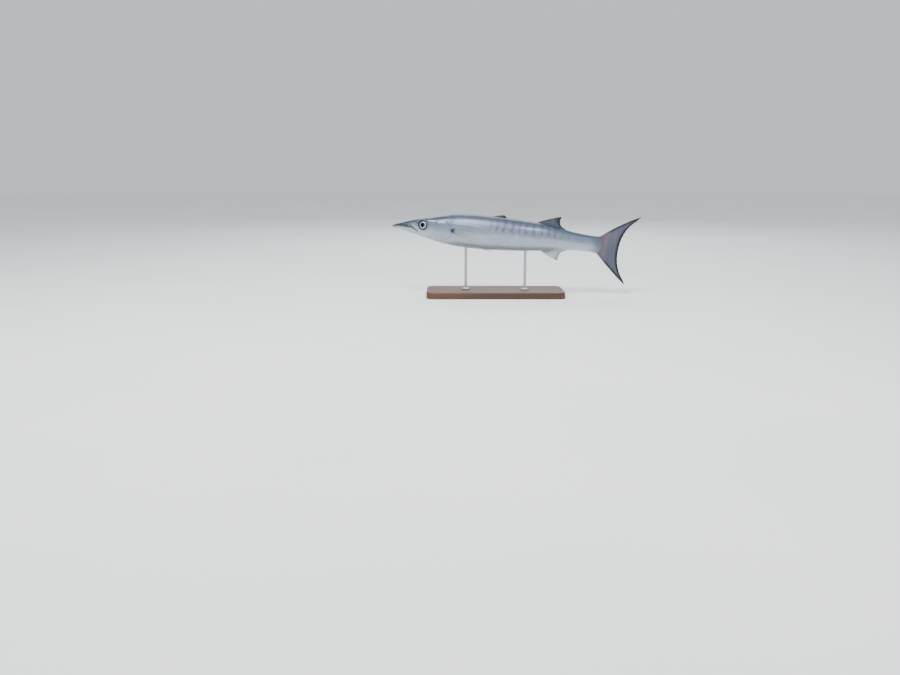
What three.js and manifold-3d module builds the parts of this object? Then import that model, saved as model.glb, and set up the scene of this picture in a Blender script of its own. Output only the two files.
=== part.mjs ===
import * as THREE from "three";
import { mergeVertices } from "three/addons/utils/BufferGeometryUtils.js";
import Module from "manifold-3d";

// A schooling barracuda at life size, gliding head-up by a few degrees, on a plain display stand.
// Millimetres, +Z up. The origin is the centre of the base's underside. The head points to -X and
// the fish's left side faces -Y. Every part of the fish is shaped in the straight frame of its own
// spine, (along, right, up), and the finished solids are then bent onto the swimming curve.

// Length of the fish from the tip of the lower jaw to the end of its flesh, and to its tail tips.
const TAIL_STEM_END = 465;
const TAIL_FORK = 39;
const TAIL_TIP_BACK = 72;
const TAIL_TIP_OUT = 77;
const TAIL_BOW = 4;

// The clearance between parts that touch.
const GAP = 0.3;

// Outline of the body: how far back, then the back, the belly and the half width there, with the
// squareness of the section (2 is an ellipse) above and below its widest line.
const PROFILE = [
  { at: 0, top: 1.2, bottom: -3.2, half: 2.6, above: 2.2, below: 2.0, widest: -0.8 },
  { at: 21, top: 6.4, bottom: -7.4, half: 5.4, above: 2.4, below: 2.0, widest: -0.5 },
  { at: 48, top: 14.2, bottom: -14.4, half: 9.0, above: 2.6, below: 2.0, widest: 0.5 },
  { at: 73, top: 19.8, bottom: -20.6, half: 13.6, above: 3.5, below: 1.95, widest: 4.5 },
  { at: 98, top: 25.0, bottom: -26.6, half: 18.0, above: 2.5, below: 1.95, widest: 0 },
  { at: 124, top: 31.0, bottom: -31.8, half: 21.8, above: 2.2, below: 2.0, widest: -2 },
  { at: 153, top: 35.6, bottom: -34.8, half: 24.6, above: 2.1, below: 2.0, widest: -1 },
  { at: 190, top: 37.4, bottom: -36.0, half: 26.2, above: 2.1, below: 2.0, widest: 0 },
  { at: 245, top: 36.4, bottom: -34.4, half: 26.0, above: 2.1, below: 2.0, widest: 1 },
  { at: 325, top: 31.6, bottom: -28.6, half: 21.8, above: 2.1, below: 2.0, widest: 1 },
  { at: 368, top: 25.2, bottom: -23.2, half: 17.0, above: 2.0, below: 2.0, widest: 0.5 },
  { at: 405, top: 19.4, bottom: -19.0, half: 12.4, above: 2.0, below: 2.0, widest: 0 },
  { at: 440, top: 17.6, bottom: -17.4, half: 8.6, above: 2.0, below: 2.0, widest: 0 },
  { at: TAIL_STEM_END, top: 19.2, bottom: -19.2, half: 3.9, above: 2.3, below: 2.3, widest: 0 },
];

// The swimming curve: which way the spine runs towards the tail, as a turn to the right side and
// a dip, in degrees.
const SWIM = [
  { at: 0, turn: -11, dip: 3.4 },
  { at: 150, turn: -7, dip: 4.6 },
  { at: 300, turn: 0.5, dip: 5.2 },
  { at: 400, turn: 4.5, dip: 7.2 },
  { at: 465, turn: 4.5, dip: 9.6 },
  { at: 560, turn: 0, dip: 12.5 },
];

// Head.
const SNOUT_TIP = 5;
const TIP_ROUND = 9;
const EYE = { at: 73, up: 6.0, radius: 10.2, bulge: 3.7, sunk: 2.2, forward: 9, upward: 8 };
const ORBIT_RIM = { radius: 10.3, thick: 1.0, sunk: 0.9 };
const NOSTRILS = [
  { at: 57.6, up: 9.4, radius: 0.9 },
  { at: 60.8, up: 9.7, radius: 1.3 },
];
const MOUTH_CORNER = { at: 60.5, up: -7.6 };
const MOUTH_BEND = 42;
const MOUTH_OPEN = 2.0;
const JAW_HINGE = { at: 81, up: -27 };
const LIP = { lift: 0.75, high: 2.4 };
const UPPER_JAW_PLATE = { at: 54, up: -3.4, long: 10, high: 4.4, lift: 0.6 };
const CHEEK_EDGE = { at: 104, forward: 26, lift: 0.7 };
const GILL_COVER = { nape: 120, rear: 138.5, throat: 92, rearAngle: 98, lift: 1.3 };

// Teeth: the space between two, the place of the first and the last, and the size.
const TEETH = { first: 9, last: 50, apart: 5.2, high: 1.5, wide: 1.3 };
const FANG = { at: 11.2, high: 2.3, wide: 1.7 };

// The trunk is parted where its fins leave room.
const TRUNK_CUTS = [185, 304, 395];

// The lateral line, as a share of the half circle from back to belly at the shoulder and the tail.
const LATERAL_LINE = { shoulder: 0.36, tail: 0.5, lift: 0.4 };

// Fins: where the base starts and ends, the number of rays, the longest and the shortest ray, how
// far the first and the last ray rise from the spine's line in degrees.
const FIRST_DORSAL = { from: 211, to: 243, rays: 5, longest: 33, shortest: 12, first: 12, last: 3 };
const SECOND_DORSAL = { from: 311, to: 371, rays: 11, longest: 59, shortest: 10, first: 19, last: 10 };
const ANAL = { from: 328, to: 380, rays: 10, longest: 46, shortest: 9, first: 25, last: 12 };
const PECTORAL = { at: 141, up: -1.5, base: 9, rays: 13, longest: 44, shortest: 12, flare: 12 };
const PELVIC = { at: 197, out: 6, base: 7, rays: 6, longest: 33, shortest: 15, flare: 9, drop: 15 };
const TAIL_RAYS = { upper: 9, lower: 8 };
const MEMBRANE_HALF = 0.3;

// Display stand.
const BASE = { long: 300, wide: 112, high: 14, corner: 14, edge: 1.6 };
const ROD = { radius: 3, foot: 9, footHigh: 3, fillet: 2.5 };
const ROD_PLACES = [166, 296];
const BALANCE_POINT = 231;
const BALANCE_HEIGHT = 136;
const BALANCE_SIDE = -6;

const AROUND = 36;
const DEGREE = Math.PI / 180;

const wasm = await Module();
wasm.setup();

// A smooth curve through the stations' values of one key, which never swings past them.
function through(stations, key) {
  const at = stations.map((station) => station.at);
  const value = stations.map((station) => station[key]);
  const slope = at.slice(1).map((x, i) => (value[i + 1] - value[i]) / (x - at[i]));
  const tangent = at.map((_, i) => {
    if (i === 0) return slope[0];
    if (i === slope.length) return slope[i - 1];
    return slope[i - 1] * slope[i] <= 0 ? 0 : (2 * slope[i - 1] * slope[i]) / (slope[i - 1] + slope[i]);
  });
  return (x) => {
    const found = at.findIndex((stop) => stop > x);
    const i = THREE.MathUtils.clamp((found < 0 ? at.length : found) - 1, 0, slope.length - 1);
    const long = at[i + 1] - at[i];
    const t = THREE.MathUtils.clamp((x - at[i]) / long, 0, 1);
    const rest = 1 - t;
    return (
      value[i] * (1 + 2 * t) * rest * rest +
      value[i + 1] * t * t * (3 - 2 * t) +
      long * t * rest * (tangent[i] * rest - tangent[i + 1] * t)
    );
  };
}

const profile = {
  top: through(PROFILE, "top"),
  bottom: through(PROFILE, "bottom"),
  half: through(PROFILE, "half"),
  above: through(PROFILE, "above"),
  below: through(PROFILE, "below"),
  widest: through(PROFILE, "widest"),
};

const turn = through(SWIM, "turn");
const dip = through(SWIM, "dip");

// The direction of the spine towards the tail.
function spineDirection(at) {
  const right = turn(at) * DEGREE;
  const down = dip(at) * DEGREE;
  return new THREE.Vector3(
    Math.cos(down) * Math.cos(right),
    Math.cos(down) * Math.sin(right),
    -Math.sin(down),
  );
}

// Points along the spine, one each millimetre, moved so that the balance point is over the base.
const spineStart = -20;
const spinePoints = [new THREE.Vector3()];
for (let at = spineStart; at < 580; at += 1) {
  const last = spinePoints[spinePoints.length - 1];
  spinePoints.push(last.clone().add(spineDirection(at + 0.5)));
}
const balance = spinePoints[BALANCE_POINT - spineStart].clone();
for (const point of spinePoints) {
  point.sub(balance).add(new THREE.Vector3(0, BALANCE_SIDE, BALANCE_HEIGHT));
}

// A point of the straight fish, (along, right, up), on the swimming curve.
function bend(along, right, up) {
  const place = along - spineStart;
  const step = THREE.MathUtils.clamp(Math.floor(place), 0, spinePoints.length - 2);
  const point = spinePoints[step].clone().lerp(spinePoints[step + 1], place - step);
  const back = spineDirection(along);
  const toRight = new THREE.Vector3(0, 0, 1).cross(back).normalize();
  const toUp = back.clone().cross(toRight);
  return point.addScaledVector(toRight, right).addScaledVector(toUp, up);
}

const smooth = (low, high, x) => THREE.MathUtils.smoothstep(x, low, high);

// The line of the mouth in side view: level, then drooping to the corner.
function mouthLine(along) {
  const droop = Math.max(0, along - MOUTH_BEND) / (MOUTH_CORNER.at - MOUTH_BEND);
  return 0.6 - droop * droop * (0.6 - MOUTH_CORNER.up);
}

// The rear edge of the gill cover and, over the nape, of the head, by angle from the back.
function headEnd(angle) {
  const degrees = Math.acos(Math.cos(angle)) / DEGREE;
  const { nape, rear, throat, rearAngle } = GILL_COVER;
  if (degrees < rearAngle) return nape + (rear - nape) * smooth(38, rearAngle, degrees);
  return rear - (rear - throat) * smooth(rearAngle, 180, degrees);
}

// How far the plates and folds of the head stand out of its plain surface.
function headRelief(along, up, angle) {
  const degrees = Math.acos(Math.cos(angle)) / DEGREE;
  const fromMouth = Math.abs(up - mouthLine(along)) / LIP.high;
  const lipEnds = smooth(7, 14, along) * (1 - smooth(52, MOUTH_CORNER.at + 2, along));
  const lip = LIP.lift * Math.max(0, 1 - fromMouth * fromMouth) * lipEnds;
  const plateX = (along - UPPER_JAW_PLATE.at) / UPPER_JAW_PLATE.long;
  const plateZ = (up - UPPER_JAW_PLATE.up) / UPPER_JAW_PLATE.high;
  const plate = UPPER_JAW_PLATE.lift * (1 - smooth(0.5, 1.1, Math.hypot(plateX, plateZ)));
  const low = smooth(0, 26, -up);
  const cheek = CHEEK_EDGE.at - CHEEK_EDGE.forward * low * low;
  const flank = smooth(48, 66, degrees) * (1 - smooth(150, 172, degrees));
  const cheekStep = CHEEK_EDGE.lift * smooth(cheek - 1.5, cheek + 1.5, along) * flank;
  const cover = (GILL_COVER.lift - CHEEK_EDGE.lift) * smooth(104, 136, along) * flank;
  return lip + plate + cheekStep + cover;
}

// The lateral line: a low ridge from the gill cover's upper corner to the tail.
function lineRelief(along, angle) {
  const half = Math.acos(Math.cos(angle)) / Math.PI;
  const share = smooth(130, 300, along);
  const line = THREE.MathUtils.lerp(LATERAL_LINE.shoulder, LATERAL_LINE.tail, share);
  return LATERAL_LINE.lift * Math.max(0, 1 - Math.abs(half - line) / 0.03);
}

// A quarter-round closing of a jaw towards its tip.
function tipRound(along, tip) {
  const t = THREE.MathUtils.clamp((along - tip) / TIP_ROUND, 0, 1);
  return Math.sqrt(1 - (1 - t) * (1 - t));
}

// The body's section at one place as (right, up), by angle from the back over the right side.
function section(along, angle, tip) {
  const round = tipRound(along, tip);
  const widest = profile.widest(along);
  const upper = Math.cos(angle) >= 0;
  const square = 2 / (upper ? profile.above(along) : profile.below(along));
  const reach = upper ? profile.top(along) - widest : widest - profile.bottom(along);
  const across = Math.sign(Math.sin(angle)) * Math.abs(Math.sin(angle)) ** square;
  const rise = Math.sign(Math.cos(angle)) * Math.abs(Math.cos(angle)) ** square;
  const centre = widest * round;
  return new THREE.Vector2(profile.half(along) * across * round, centre + reach * rise * round);
}

// The surface point with its relief and an even swelling, pushed out square to the section.
function surface(along, angle, { tip = SNOUT_TIP, relief = () => 0, swell = 0 } = {}) {
  const point = section(along, angle, tip);
  const ahead = section(along, angle + 0.02, tip);
  const behind = section(along, angle - 0.02, tip);
  const outward = new THREE.Vector2(-(ahead.y - behind.y), ahead.x - behind.x).normalize();
  return point.addScaledVector(outward, relief(along, point.y, angle) + swell);
}

// Closed mesh from rings of points: a fan closes each end on its own centre.
function skinOver(rings, frontCentre, rearCentre) {
  const count = rings[0].length;
  const points = [frontCentre, ...rings.flat(), rearCentre];
  const faces = [];
  for (let j = 0; j < count; j += 1) {
    const next = (j + 1) % count;
    faces.push(0, 1 + j, 1 + next);
    for (let i = 0; i + 1 < rings.length; i += 1) {
      const a = 1 + i * count;
      faces.push(a + j, a + count + next, a + next, a + j, a + count + j, a + count + next);
    }
    const last = 1 + (rings.length - 1) * count;
    faces.push(points.length - 1, last + next, last + j);
  }
  return closedGeometry(points, faces);
}

function closedGeometry(points, faces) {
  const geometry = new THREE.BufferGeometry().setFromPoints(points);
  geometry.setIndex(faces);
  return geometry;
}

// A length of the body between two places. Each end may follow the angle round the body.
function bodyLength({ from, to, steps, tip = SNOUT_TIP, relief, swell = 0, pointed = false }) {
  const startAt = typeof from === "function" ? from : () => from;
  const endAt = typeof to === "function" ? to : () => to;
  const rings = [];
  for (let i = 0; i <= steps; i += 1) {
    const share = pointed ? (i + 0.35) / (steps + 0.35) : i / steps;
    const ring = [];
    for (let j = 0; j < AROUND; j += 1) {
      const angle = (2 * Math.PI * j) / AROUND;
      const spread = pointed ? share ** 1.25 : share;
      const along = startAt(angle) + (endAt(angle) - startAt(angle)) * spread;
      const { x, y } = surface(along, angle, { tip, relief, swell });
      ring.push(new THREE.Vector3(along, x, y));
    }
    rings.push(ring);
  }
  const middle = (ring) => ring.reduce((sum, p) => sum.add(p), new THREE.Vector3()).divideScalar(AROUND);
  const front = pointed ? new THREE.Vector3(startAt(0), 0, profile.widest(startAt(0)) * 0.2) : middle(rings[0]);
  return skinOver(rings, front, middle(rings[steps]));
}

// A geometry as a solid that can be cut and joined, and back.
function solid(geometry) {
  const plain = new THREE.BufferGeometry().setAttribute("position", geometry.getAttribute("position"));
  if (geometry.index) plain.setIndex(geometry.index);
  const merged = mergeVertices(plain, 1e-4);
  return new wasm.Manifold(
    new wasm.Mesh({
      numProp: 3,
      vertProperties: new Float32Array(merged.attributes.position.array),
      triVerts: new Uint32Array(merged.index.array),
    }),
  );
}

function geometryOf(body) {
  const mesh = body.getMesh();
  const points = [];
  for (let i = 0; i < mesh.numVert; i += 1) {
    points.push(new THREE.Vector3().fromArray(mesh.vertProperties, i * mesh.numProp));
  }
  return closedGeometry(points, Array.from(mesh.triVerts));
}

// The one body to keep of what a cut leaves: the largest, or the one that a measure prefers.
function keepOne(body, measure = (piece) => piece.volume()) {
  return body.decompose().reduce((best, piece) => (measure(piece) > measure(best) ? piece : best));
}

// The solid's geometry, bent onto the swimming curve.
function bent(body) {
  const geometry = geometryOf(body);
  const position = geometry.getAttribute("position");
  for (let i = 0; i < position.count; i += 1) {
    const point = bend(position.getX(i), position.getY(i), position.getZ(i));
    position.setXYZ(i, point.x, point.y, point.z);
  }
  return geometry;
}

// A ball with its own radius along each axis of the straight fish.
function ball(along, right, up, radii, parts = 12) {
  const geometry = new THREE.SphereGeometry(1, parts, Math.max(5, Math.round(parts / 2)));
  geometry.rotateX(Math.PI / 2);
  geometry.scale(radii.x, radii.y, radii.z);
  lookOut(geometry, Math.sign(right));
  geometry.translate(along, right, up);
  return solid(geometry);
}

// Turns a shape that faces straight to the side as an eye does: a little forward and up.
function lookOut(geometry, side) {
  geometry.rotateX(side * EYE.upward * DEGREE);
  geometry.rotateZ(side * EYE.forward * DEGREE);
}

// How far to the side the body's surface lies at a place and a height.
function sideAt(along, up) {
  let low = 0;
  let high = Math.PI;
  for (let i = 0; i < 30; i += 1) {
    const middle = (low + high) / 2;
    if (section(along, middle, SNOUT_TIP).y > up) low = middle;
    else high = middle;
  }
  return section(along, low, SNOUT_TIP).x;
}

// Half the opening of the mouth's slit, which closes towards the corner.
function mouthGapHalf(along) {
  return THREE.MathUtils.lerp(MOUTH_OPEN, GAP + 0.1, smooth(10, MOUTH_CORNER.at, along)) / 2;
}

// The slit of the mouth and the thin cut behind it that parts the lower jaw from the throat.
function mouthCut() {
  const above = [];
  const below = [];
  const steps = 12;
  for (let i = 0; i <= steps; i += 1) {
    const along = -8 + ((MOUTH_CORNER.at + 8) * i) / steps;
    above.push(new THREE.Vector2(along, mouthLine(along) + mouthGapHalf(along)));
    below.push(new THREE.Vector2(along, mouthLine(along) - mouthGapHalf(along)));
  }
  above.push(new THREE.Vector2(JAW_HINGE.at + GAP, JAW_HINGE.up));
  below.push(new THREE.Vector2(JAW_HINGE.at - GAP / 4, JAW_HINGE.up));
  const outline = new THREE.Shape([...below, ...above.reverse()]);
  const geometry = new THREE.ExtrudeGeometry(outline, { depth: 60, bevelEnabled: false });
  geometry.rotateX(Math.PI / 2);
  geometry.translate(0, 30, 0);
  return solid(geometry);
}

// A tooth: a small pointed cone, its root sunk in the jaw, leaning a little towards the throat.
function tooth(along, side, jaw, { high, wide }) {
  const inset = 1.5;
  const edge = jaw * (mouthGapHalf(along) - 0.05);
  const out = Math.max(1.1, sideAt(along, mouthLine(along)) - inset);
  const geometry = new THREE.ConeGeometry(wide / 2, high + 1.2, 5);
  geometry.rotateX(Math.PI / 2);
  if (jaw > 0) geometry.rotateX(Math.PI);
  geometry.translate(along, side * out, mouthLine(along) + edge - (jaw * (high - 1.2)) / 2);
  return solid(geometry);
}

// A row of teeth on both sides of one jaw: jaw is 1 above and -1 below.
function toothRow(jaw) {
  const row = [];
  const shift = jaw > 0 ? TEETH.apart / 2 : 0;
  for (let along = TEETH.first + shift; along < TEETH.last; along += TEETH.apart) {
    const high = Math.min(TEETH.high, 2 * mouthGapHalf(along) - GAP);
    if (high > 0.5) row.push(...[1, -1].map((side) => tooth(along, side, jaw, { high, wide: TEETH.wide })));
  }
  return row;
}

// Rays and membrane as one closed blade. Each ray runs from its root over a middle point to its
// tip; a crest column lies on each ray and a thin column between two rays.
function finBlade(rays, { rows, rootHalf, tipHalf, notch = 0.6, outward }) {
  const columns = [];
  rays.forEach((ray, i) => {
    columns.push({ ray, crest: true });
    if (i + 1 < rays.length) {
      const next = rays[i + 1];
      const mix = (key) => ray[key].clone().lerp(next[key], 0.5);
      const tip = mix("tip");
      const middle = mix("middle");
      tip.addScaledVector(middle.clone().sub(tip).normalize(), notch);
      columns.push({ ray: { root: mix("root"), middle, tip }, crest: false });
    }
  });
  const halves = columns.map(({ ray, crest }) =>
    Array.from({ length: rows + 1 }, (_, i) => {
      const t = i / rows;
      const point = new THREE.QuadraticBezierCurve3(ray.root, ray.middle, ray.tip).getPoint(t);
      const rise = THREE.MathUtils.lerp(rootHalf, tipHalf, Math.sqrt(t));
      return { point, half: crest ? rise : THREE.MathUtils.lerp(rootHalf * 0.55, MEMBRANE_HALF, Math.sqrt(t)) };
    }),
  );
  const across = rows + 1;
  const front = halves.flat().map(({ point, half }) => point.clone().addScaledVector(outward, half));
  const back = halves.flat().map(({ point, half }) => point.clone().addScaledVector(outward, -half));
  const shift = front.length;
  const faces = [];
  const quad = (a, b, c, d) => faces.push(a, b, c, a, c, d);
  for (let j = 0; j + 1 < columns.length; j += 1) {
    for (let i = 0; i < rows; i += 1) {
      const a = j * across + i;
      const b = a + across;
      quad(a, b, b + 1, a + 1);
      faces.push(a + shift, b + 1 + shift, b + shift, a + shift, a + 1 + shift, b + 1 + shift);
    }
    const root = j * across;
    const next = root + across;
    quad(root, root + shift, next + shift, next);
    quad(root + rows, next + rows, next + rows + shift, root + rows + shift);
  }
  const lastColumn = (columns.length - 1) * across;
  for (let i = 0; i < rows; i += 1) {
    quad(i, i + 1, i + 1 + shift, i + shift);
    quad(lastColumn + i, lastColumn + i + shift, lastColumn + i + 1 + shift, lastColumn + i + 1);
  }
  const blade = solid(closedGeometry([...front, ...back], faces));
  return blade.volume() > 0 ? blade : solid(closedGeometry([...front, ...back], faces.reverse()));
}

// A fin on the back (side 1) or the belly (side -1), its rays swept back and shorter to the rear.
function middleFin({ from, to, rays, longest, shortest, first, last }, side, sharpness, options) {
  const edge = side > 0 ? profile.top : profile.bottom;
  const fan = Array.from({ length: rays }, (_, i) => {
    const share = i / (rays - 1);
    const at = THREE.MathUtils.lerp(from, to, share);
    const long = shortest + (longest - shortest) * (1 - share) ** sharpness;
    const rise = THREE.MathUtils.lerp(first, last, share) * DEGREE;
    const root = new THREE.Vector3(at, 0, edge(at) - side * 3);
    const reach = new THREE.Vector3(Math.cos(rise), 0, side * Math.sin(rise)).multiplyScalar(long + 3);
    const tip = root.clone().add(reach);
    const middle = root.clone().addScaledVector(reach, 0.5);
    middle.z += side * long * 0.05;
    return { root, middle, tip };
  });
  return finBlade(fan, { outward: new THREE.Vector3(0, 1, 0), ...options });
}

// One lobe of the tail: side 1 above, -1 below. Its rays fan from the stem's end to the margin.
function tailLobe(rays, side) {
  const fork = GAP / 2;
  const margin = (out) => TAIL_FORK + (TAIL_TIP_BACK - TAIL_FORK) * (out / TAIL_TIP_OUT) ** 2.2;
  const fan = Array.from({ length: rays }, (_, i) => {
    const share = i / (rays - 1);
    const rootOut = THREE.MathUtils.lerp(17.4, fork, share);
    const out = THREE.MathUtils.lerp(TAIL_TIP_OUT, fork, share ** 0.92);
    const tip = new THREE.Vector3(TAIL_STEM_END + margin(out), 0, side * out);
    const root = new THREE.Vector3(TAIL_STEM_END - 9 + 5 * share, 0, side * rootOut);
    const middle = root.clone().lerp(tip, 0.55);
    const bow = TAIL_BOW * (1 - share) ** 1.5;
    middle.add(new THREE.Vector3(-bow * 0.5, 0, side * bow));
    return { root, middle, tip };
  });
  const blade = { rows: 9, rootHalf: 2.9, tipHalf: 0.42, notch: 0.9 };
  return finBlade(fan, { outward: new THREE.Vector3(0, 1, 0), ...blade });
}

// A pectoral fin, half folded against the flank: side is 1 on the right.
function pectoralFin(side) {
  const { at, up, base, rays, longest, shortest, flare } = PECTORAL;
  const fan = Array.from({ length: rays }, (_, i) => {
    const share = i / (rays - 1);
    const height = up + base * (0.5 - share);
    const start = at + 2.5 * share;
    const long = shortest + (longest - shortest) * Math.cos((share - 0.15) * 1.7) ** 1.2;
    const fall = THREE.MathUtils.lerp(2, 20, share) * DEGREE;
    const out = THREE.MathUtils.lerp(flare, flare + 5, share) * DEGREE;
    const root = new THREE.Vector3(start - 3, side * (sideAt(start, height) - 1.4), height);
    const heading = new THREE.Vector3(
      Math.cos(fall) * Math.cos(out),
      side * Math.sin(out),
      -Math.sin(fall) * Math.cos(out),
    );
    const tip = root.clone().addScaledVector(heading, long + 3);
    const middle = root.clone().lerp(tip, 0.5);
    middle.y += side * 1.2;
    return { root, middle, tip };
  });
  const outward = new THREE.Vector3(-Math.sin(flare * DEGREE), side * Math.cos(flare * DEGREE), 0);
  return finBlade(fan, { rows: 5, rootHalf: 1.0, tipHalf: 0.36, notch: 0.5, outward });
}

// A pelvic fin on the belly, trailing back, down and a little out: side is 1 on the right.
function pelvicFin(side) {
  const { at, out, base, rays, longest, shortest, flare, drop } = PELVIC;
  const fan = Array.from({ length: rays }, (_, i) => {
    const share = i / (rays - 1);
    const angle = Math.PI - Math.asin((out + base * (1 - share)) / profile.half(at));
    const skin = surface(at + 3 * share, angle);
    const long = shortest + (longest - shortest) * (1 - share) ** 1.3;
    const spread = THREE.MathUtils.lerp(flare, -4, share) * DEGREE;
    const down = drop * DEGREE;
    const root = new THREE.Vector3(at + 3 * share - 2, side * skin.x, skin.y + 2.4);
    const heading = new THREE.Vector3(
      Math.cos(down) * Math.cos(spread),
      side * Math.sin(spread),
      -Math.sin(down),
    );
    const tip = root.clone().addScaledVector(heading, long + 4);
    const middle = root.clone().lerp(tip, 0.5);
    middle.z -= 1.2;
    return { root, middle, tip };
  });
  const lean = 38 * DEGREE;
  const outward = new THREE.Vector3(0, side * Math.sin(lean), -Math.cos(lean));
  return finBlade(fan, { rows: 5, rootHalf: 1.0, tipHalf: 0.38, notch: 0.8, outward });
}

// Head with its plates, gill covers, eye sockets, orbit rims and nostrils, above the mouth.
function makeHead(swell = 0) {
  const shape = { from: SNOUT_TIP - swell, to: (angle) => headEnd(angle) + swell, steps: 44 };
  return solid(bodyLength({ ...shape, relief: headRelief, swell, pointed: true }));
}

function eyeBall(side, swell = 0) {
  const { at, up, radius, bulge, sunk } = EYE;
  const radii = new THREE.Vector3(radius + swell, bulge + swell, radius + swell);
  return ball(at, side * (sideAt(at, up) - sunk), up, radii, 20);
}

function orbitRim(side) {
  const geometry = new THREE.TorusGeometry(ORBIT_RIM.radius, ORBIT_RIM.thick, 6, 24);
  geometry.rotateX(Math.PI / 2);
  lookOut(geometry, side);
  geometry.translate(EYE.at, side * (sideAt(EYE.at, EYE.up) - ORBIT_RIM.sunk), EYE.up);
  return solid(geometry);
}

const headWhole = makeHead();
const headClearance = makeHead(GAP);
const mouth = mouthCut();

function finishedHead() {
  let head = keepOne(headWhole.subtract(mouth));
  for (const piece of toothRow(1)) head = head.add(piece);
  for (const side of [1, -1]) {
    head = head.add(orbitRim(side)).subtract(eyeBall(side, GAP));
    for (const { at, up, radius } of NOSTRILS) {
      const size = new THREE.Vector3(radius, radius * 1.2, radius);
      head = head.subtract(ball(at, side * (sideAt(at, up) + 0.1), up, size, 8));
    }
  }
  return keepOne(head);
}

function finishedJaw() {
  const shape = { from: 0, to: JAW_HINGE.at + 6, steps: 30, tip: 0 };
  const whole = solid(bodyLength({ ...shape, relief: headRelief, pointed: true }));
  let jaw = keepOne(whole.subtract(mouth), (piece) => -piece.boundingBox().max[2]);
  for (const piece of toothRow(-1)) jaw = jaw.add(piece);
  for (const side of [1, -1]) jaw = jaw.add(tooth(FANG.at, side, -1, { high: FANG.high - 0.9, wide: FANG.wide }));
  return keepOne(jaw);
}

// The trunk in four lengths, the first one starting inside the head and cut clear of it.
function trunkLength(from, to, steps) {
  return solid(bodyLength({ from, to, steps, relief: (along, up, angle) => lineRelief(along, angle) }));
}

const trunkClearance = solid(bodyLength({ from: 84, to: TAIL_STEM_END + GAP, steps: 40, swell: GAP }));
const clearOfBody = (fin) => keepOne(fin.subtract(trunkClearance).subtract(headClearance));

// Colours of the living fish and its stand.
const colours = {
  back: 0x3a4a5c,
  flank: 0x8f9ca6,
  jaw: 0x7c8790,
  fin: 0x39404a,
  paleFin: 0xa9a78f,
  eye: 0xc9cdd0,
  base: 0x4a3222,
  rod: 0xb8bcc0,
};

const barracuda = new THREE.Group();

function part(name, geometry, colour, roughness = 0.4, metalness = 0) {
  geometry.computeVertexNormals();
  const material = new THREE.MeshStandardMaterial({ color: colour, roughness, metalness });
  const mesh = new THREE.Mesh(geometry, material);
  mesh.name = name;
  barracuda.add(mesh);
  return mesh;
}

part("head", bent(finishedHead()), colours.flank);
part("lower_jaw", bent(finishedJaw()), colours.jaw);
part("eye_left", bent(eyeBall(-1)), colours.eye, 0.1);
part("eye_right", bent(eyeBall(1)), colours.eye, 0.1);

const [frontCut, middleCut, rearCut] = TRUNK_CUTS;
const torsoFront = keepOne(trunkLength(86, frontCut - GAP / 2, 14).subtract(headClearance));
const torsoMiddle = trunkLength(frontCut + GAP / 2, middleCut - GAP / 2, 12);
const torsoRear = trunkLength(middleCut + GAP / 2, rearCut - GAP / 2, 9);
const tailStem = trunkLength(rearCut + GAP / 2, TAIL_STEM_END, 8);
part("torso_front", bent(torsoFront), colours.flank);
part("torso_middle", bent(torsoMiddle), colours.flank);
part("torso_rear", bent(torsoRear), colours.flank);
part("tail_stem", bent(tailStem), colours.back);

const firstDorsal = middleFin(FIRST_DORSAL, 1, 1.0, { rows: 6, rootHalf: 1.0, tipHalf: 0.36 });
const secondDorsal = middleFin(SECOND_DORSAL, 1, 1.7, { rows: 6, rootHalf: 1.3, tipHalf: 0.36 });
const anal = middleFin(ANAL, -1, 1.7, { rows: 6, rootHalf: 1.3, tipHalf: 0.36 });
part("first_dorsal_fin", bent(clearOfBody(firstDorsal)), colours.fin);
part("second_dorsal_fin", bent(clearOfBody(secondDorsal)), colours.fin);
part("anal_fin", bent(clearOfBody(anal)), colours.paleFin);
part("tail_fin_upper", bent(clearOfBody(tailLobe(TAIL_RAYS.upper, 1))), colours.fin);
part("tail_fin_lower", bent(clearOfBody(tailLobe(TAIL_RAYS.lower, -1))), colours.fin);
part("pectoral_fin_left", bent(clearOfBody(pectoralFin(-1))), colours.paleFin);
part("pectoral_fin_right", bent(clearOfBody(pectoralFin(1))), colours.paleFin);
part("pelvic_fin_left", bent(clearOfBody(pelvicFin(-1))), colours.paleFin);
part("pelvic_fin_right", bent(clearOfBody(pelvicFin(1))), colours.paleFin);

// Base: a board with round corners and softened edges.
function baseBoard() {
  const { long, wide, high, corner, edge } = BASE;
  const x = long / 2 - edge;
  const y = wide / 2 - edge;
  const outline = new THREE.Shape();
  outline.moveTo(-x + corner, -y);
  outline.lineTo(x - corner, -y);
  outline.absarc(x - corner, -y + corner, corner, -Math.PI / 2, 0);
  outline.absarc(x - corner, y - corner, corner, 0, Math.PI / 2);
  outline.absarc(-x + corner, y - corner, corner, Math.PI / 2, Math.PI);
  outline.absarc(-x + corner, -y + corner, corner, Math.PI, 1.5 * Math.PI);
  const bevel = { bevelThickness: edge, bevelSize: edge, bevelSegments: 2, curveSegments: 6 };
  const geometry = new THREE.ExtrudeGeometry(outline, { depth: high - 2 * edge, ...bevel });
  geometry.translate(0, 0, edge);
  return geometry;
}

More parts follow.
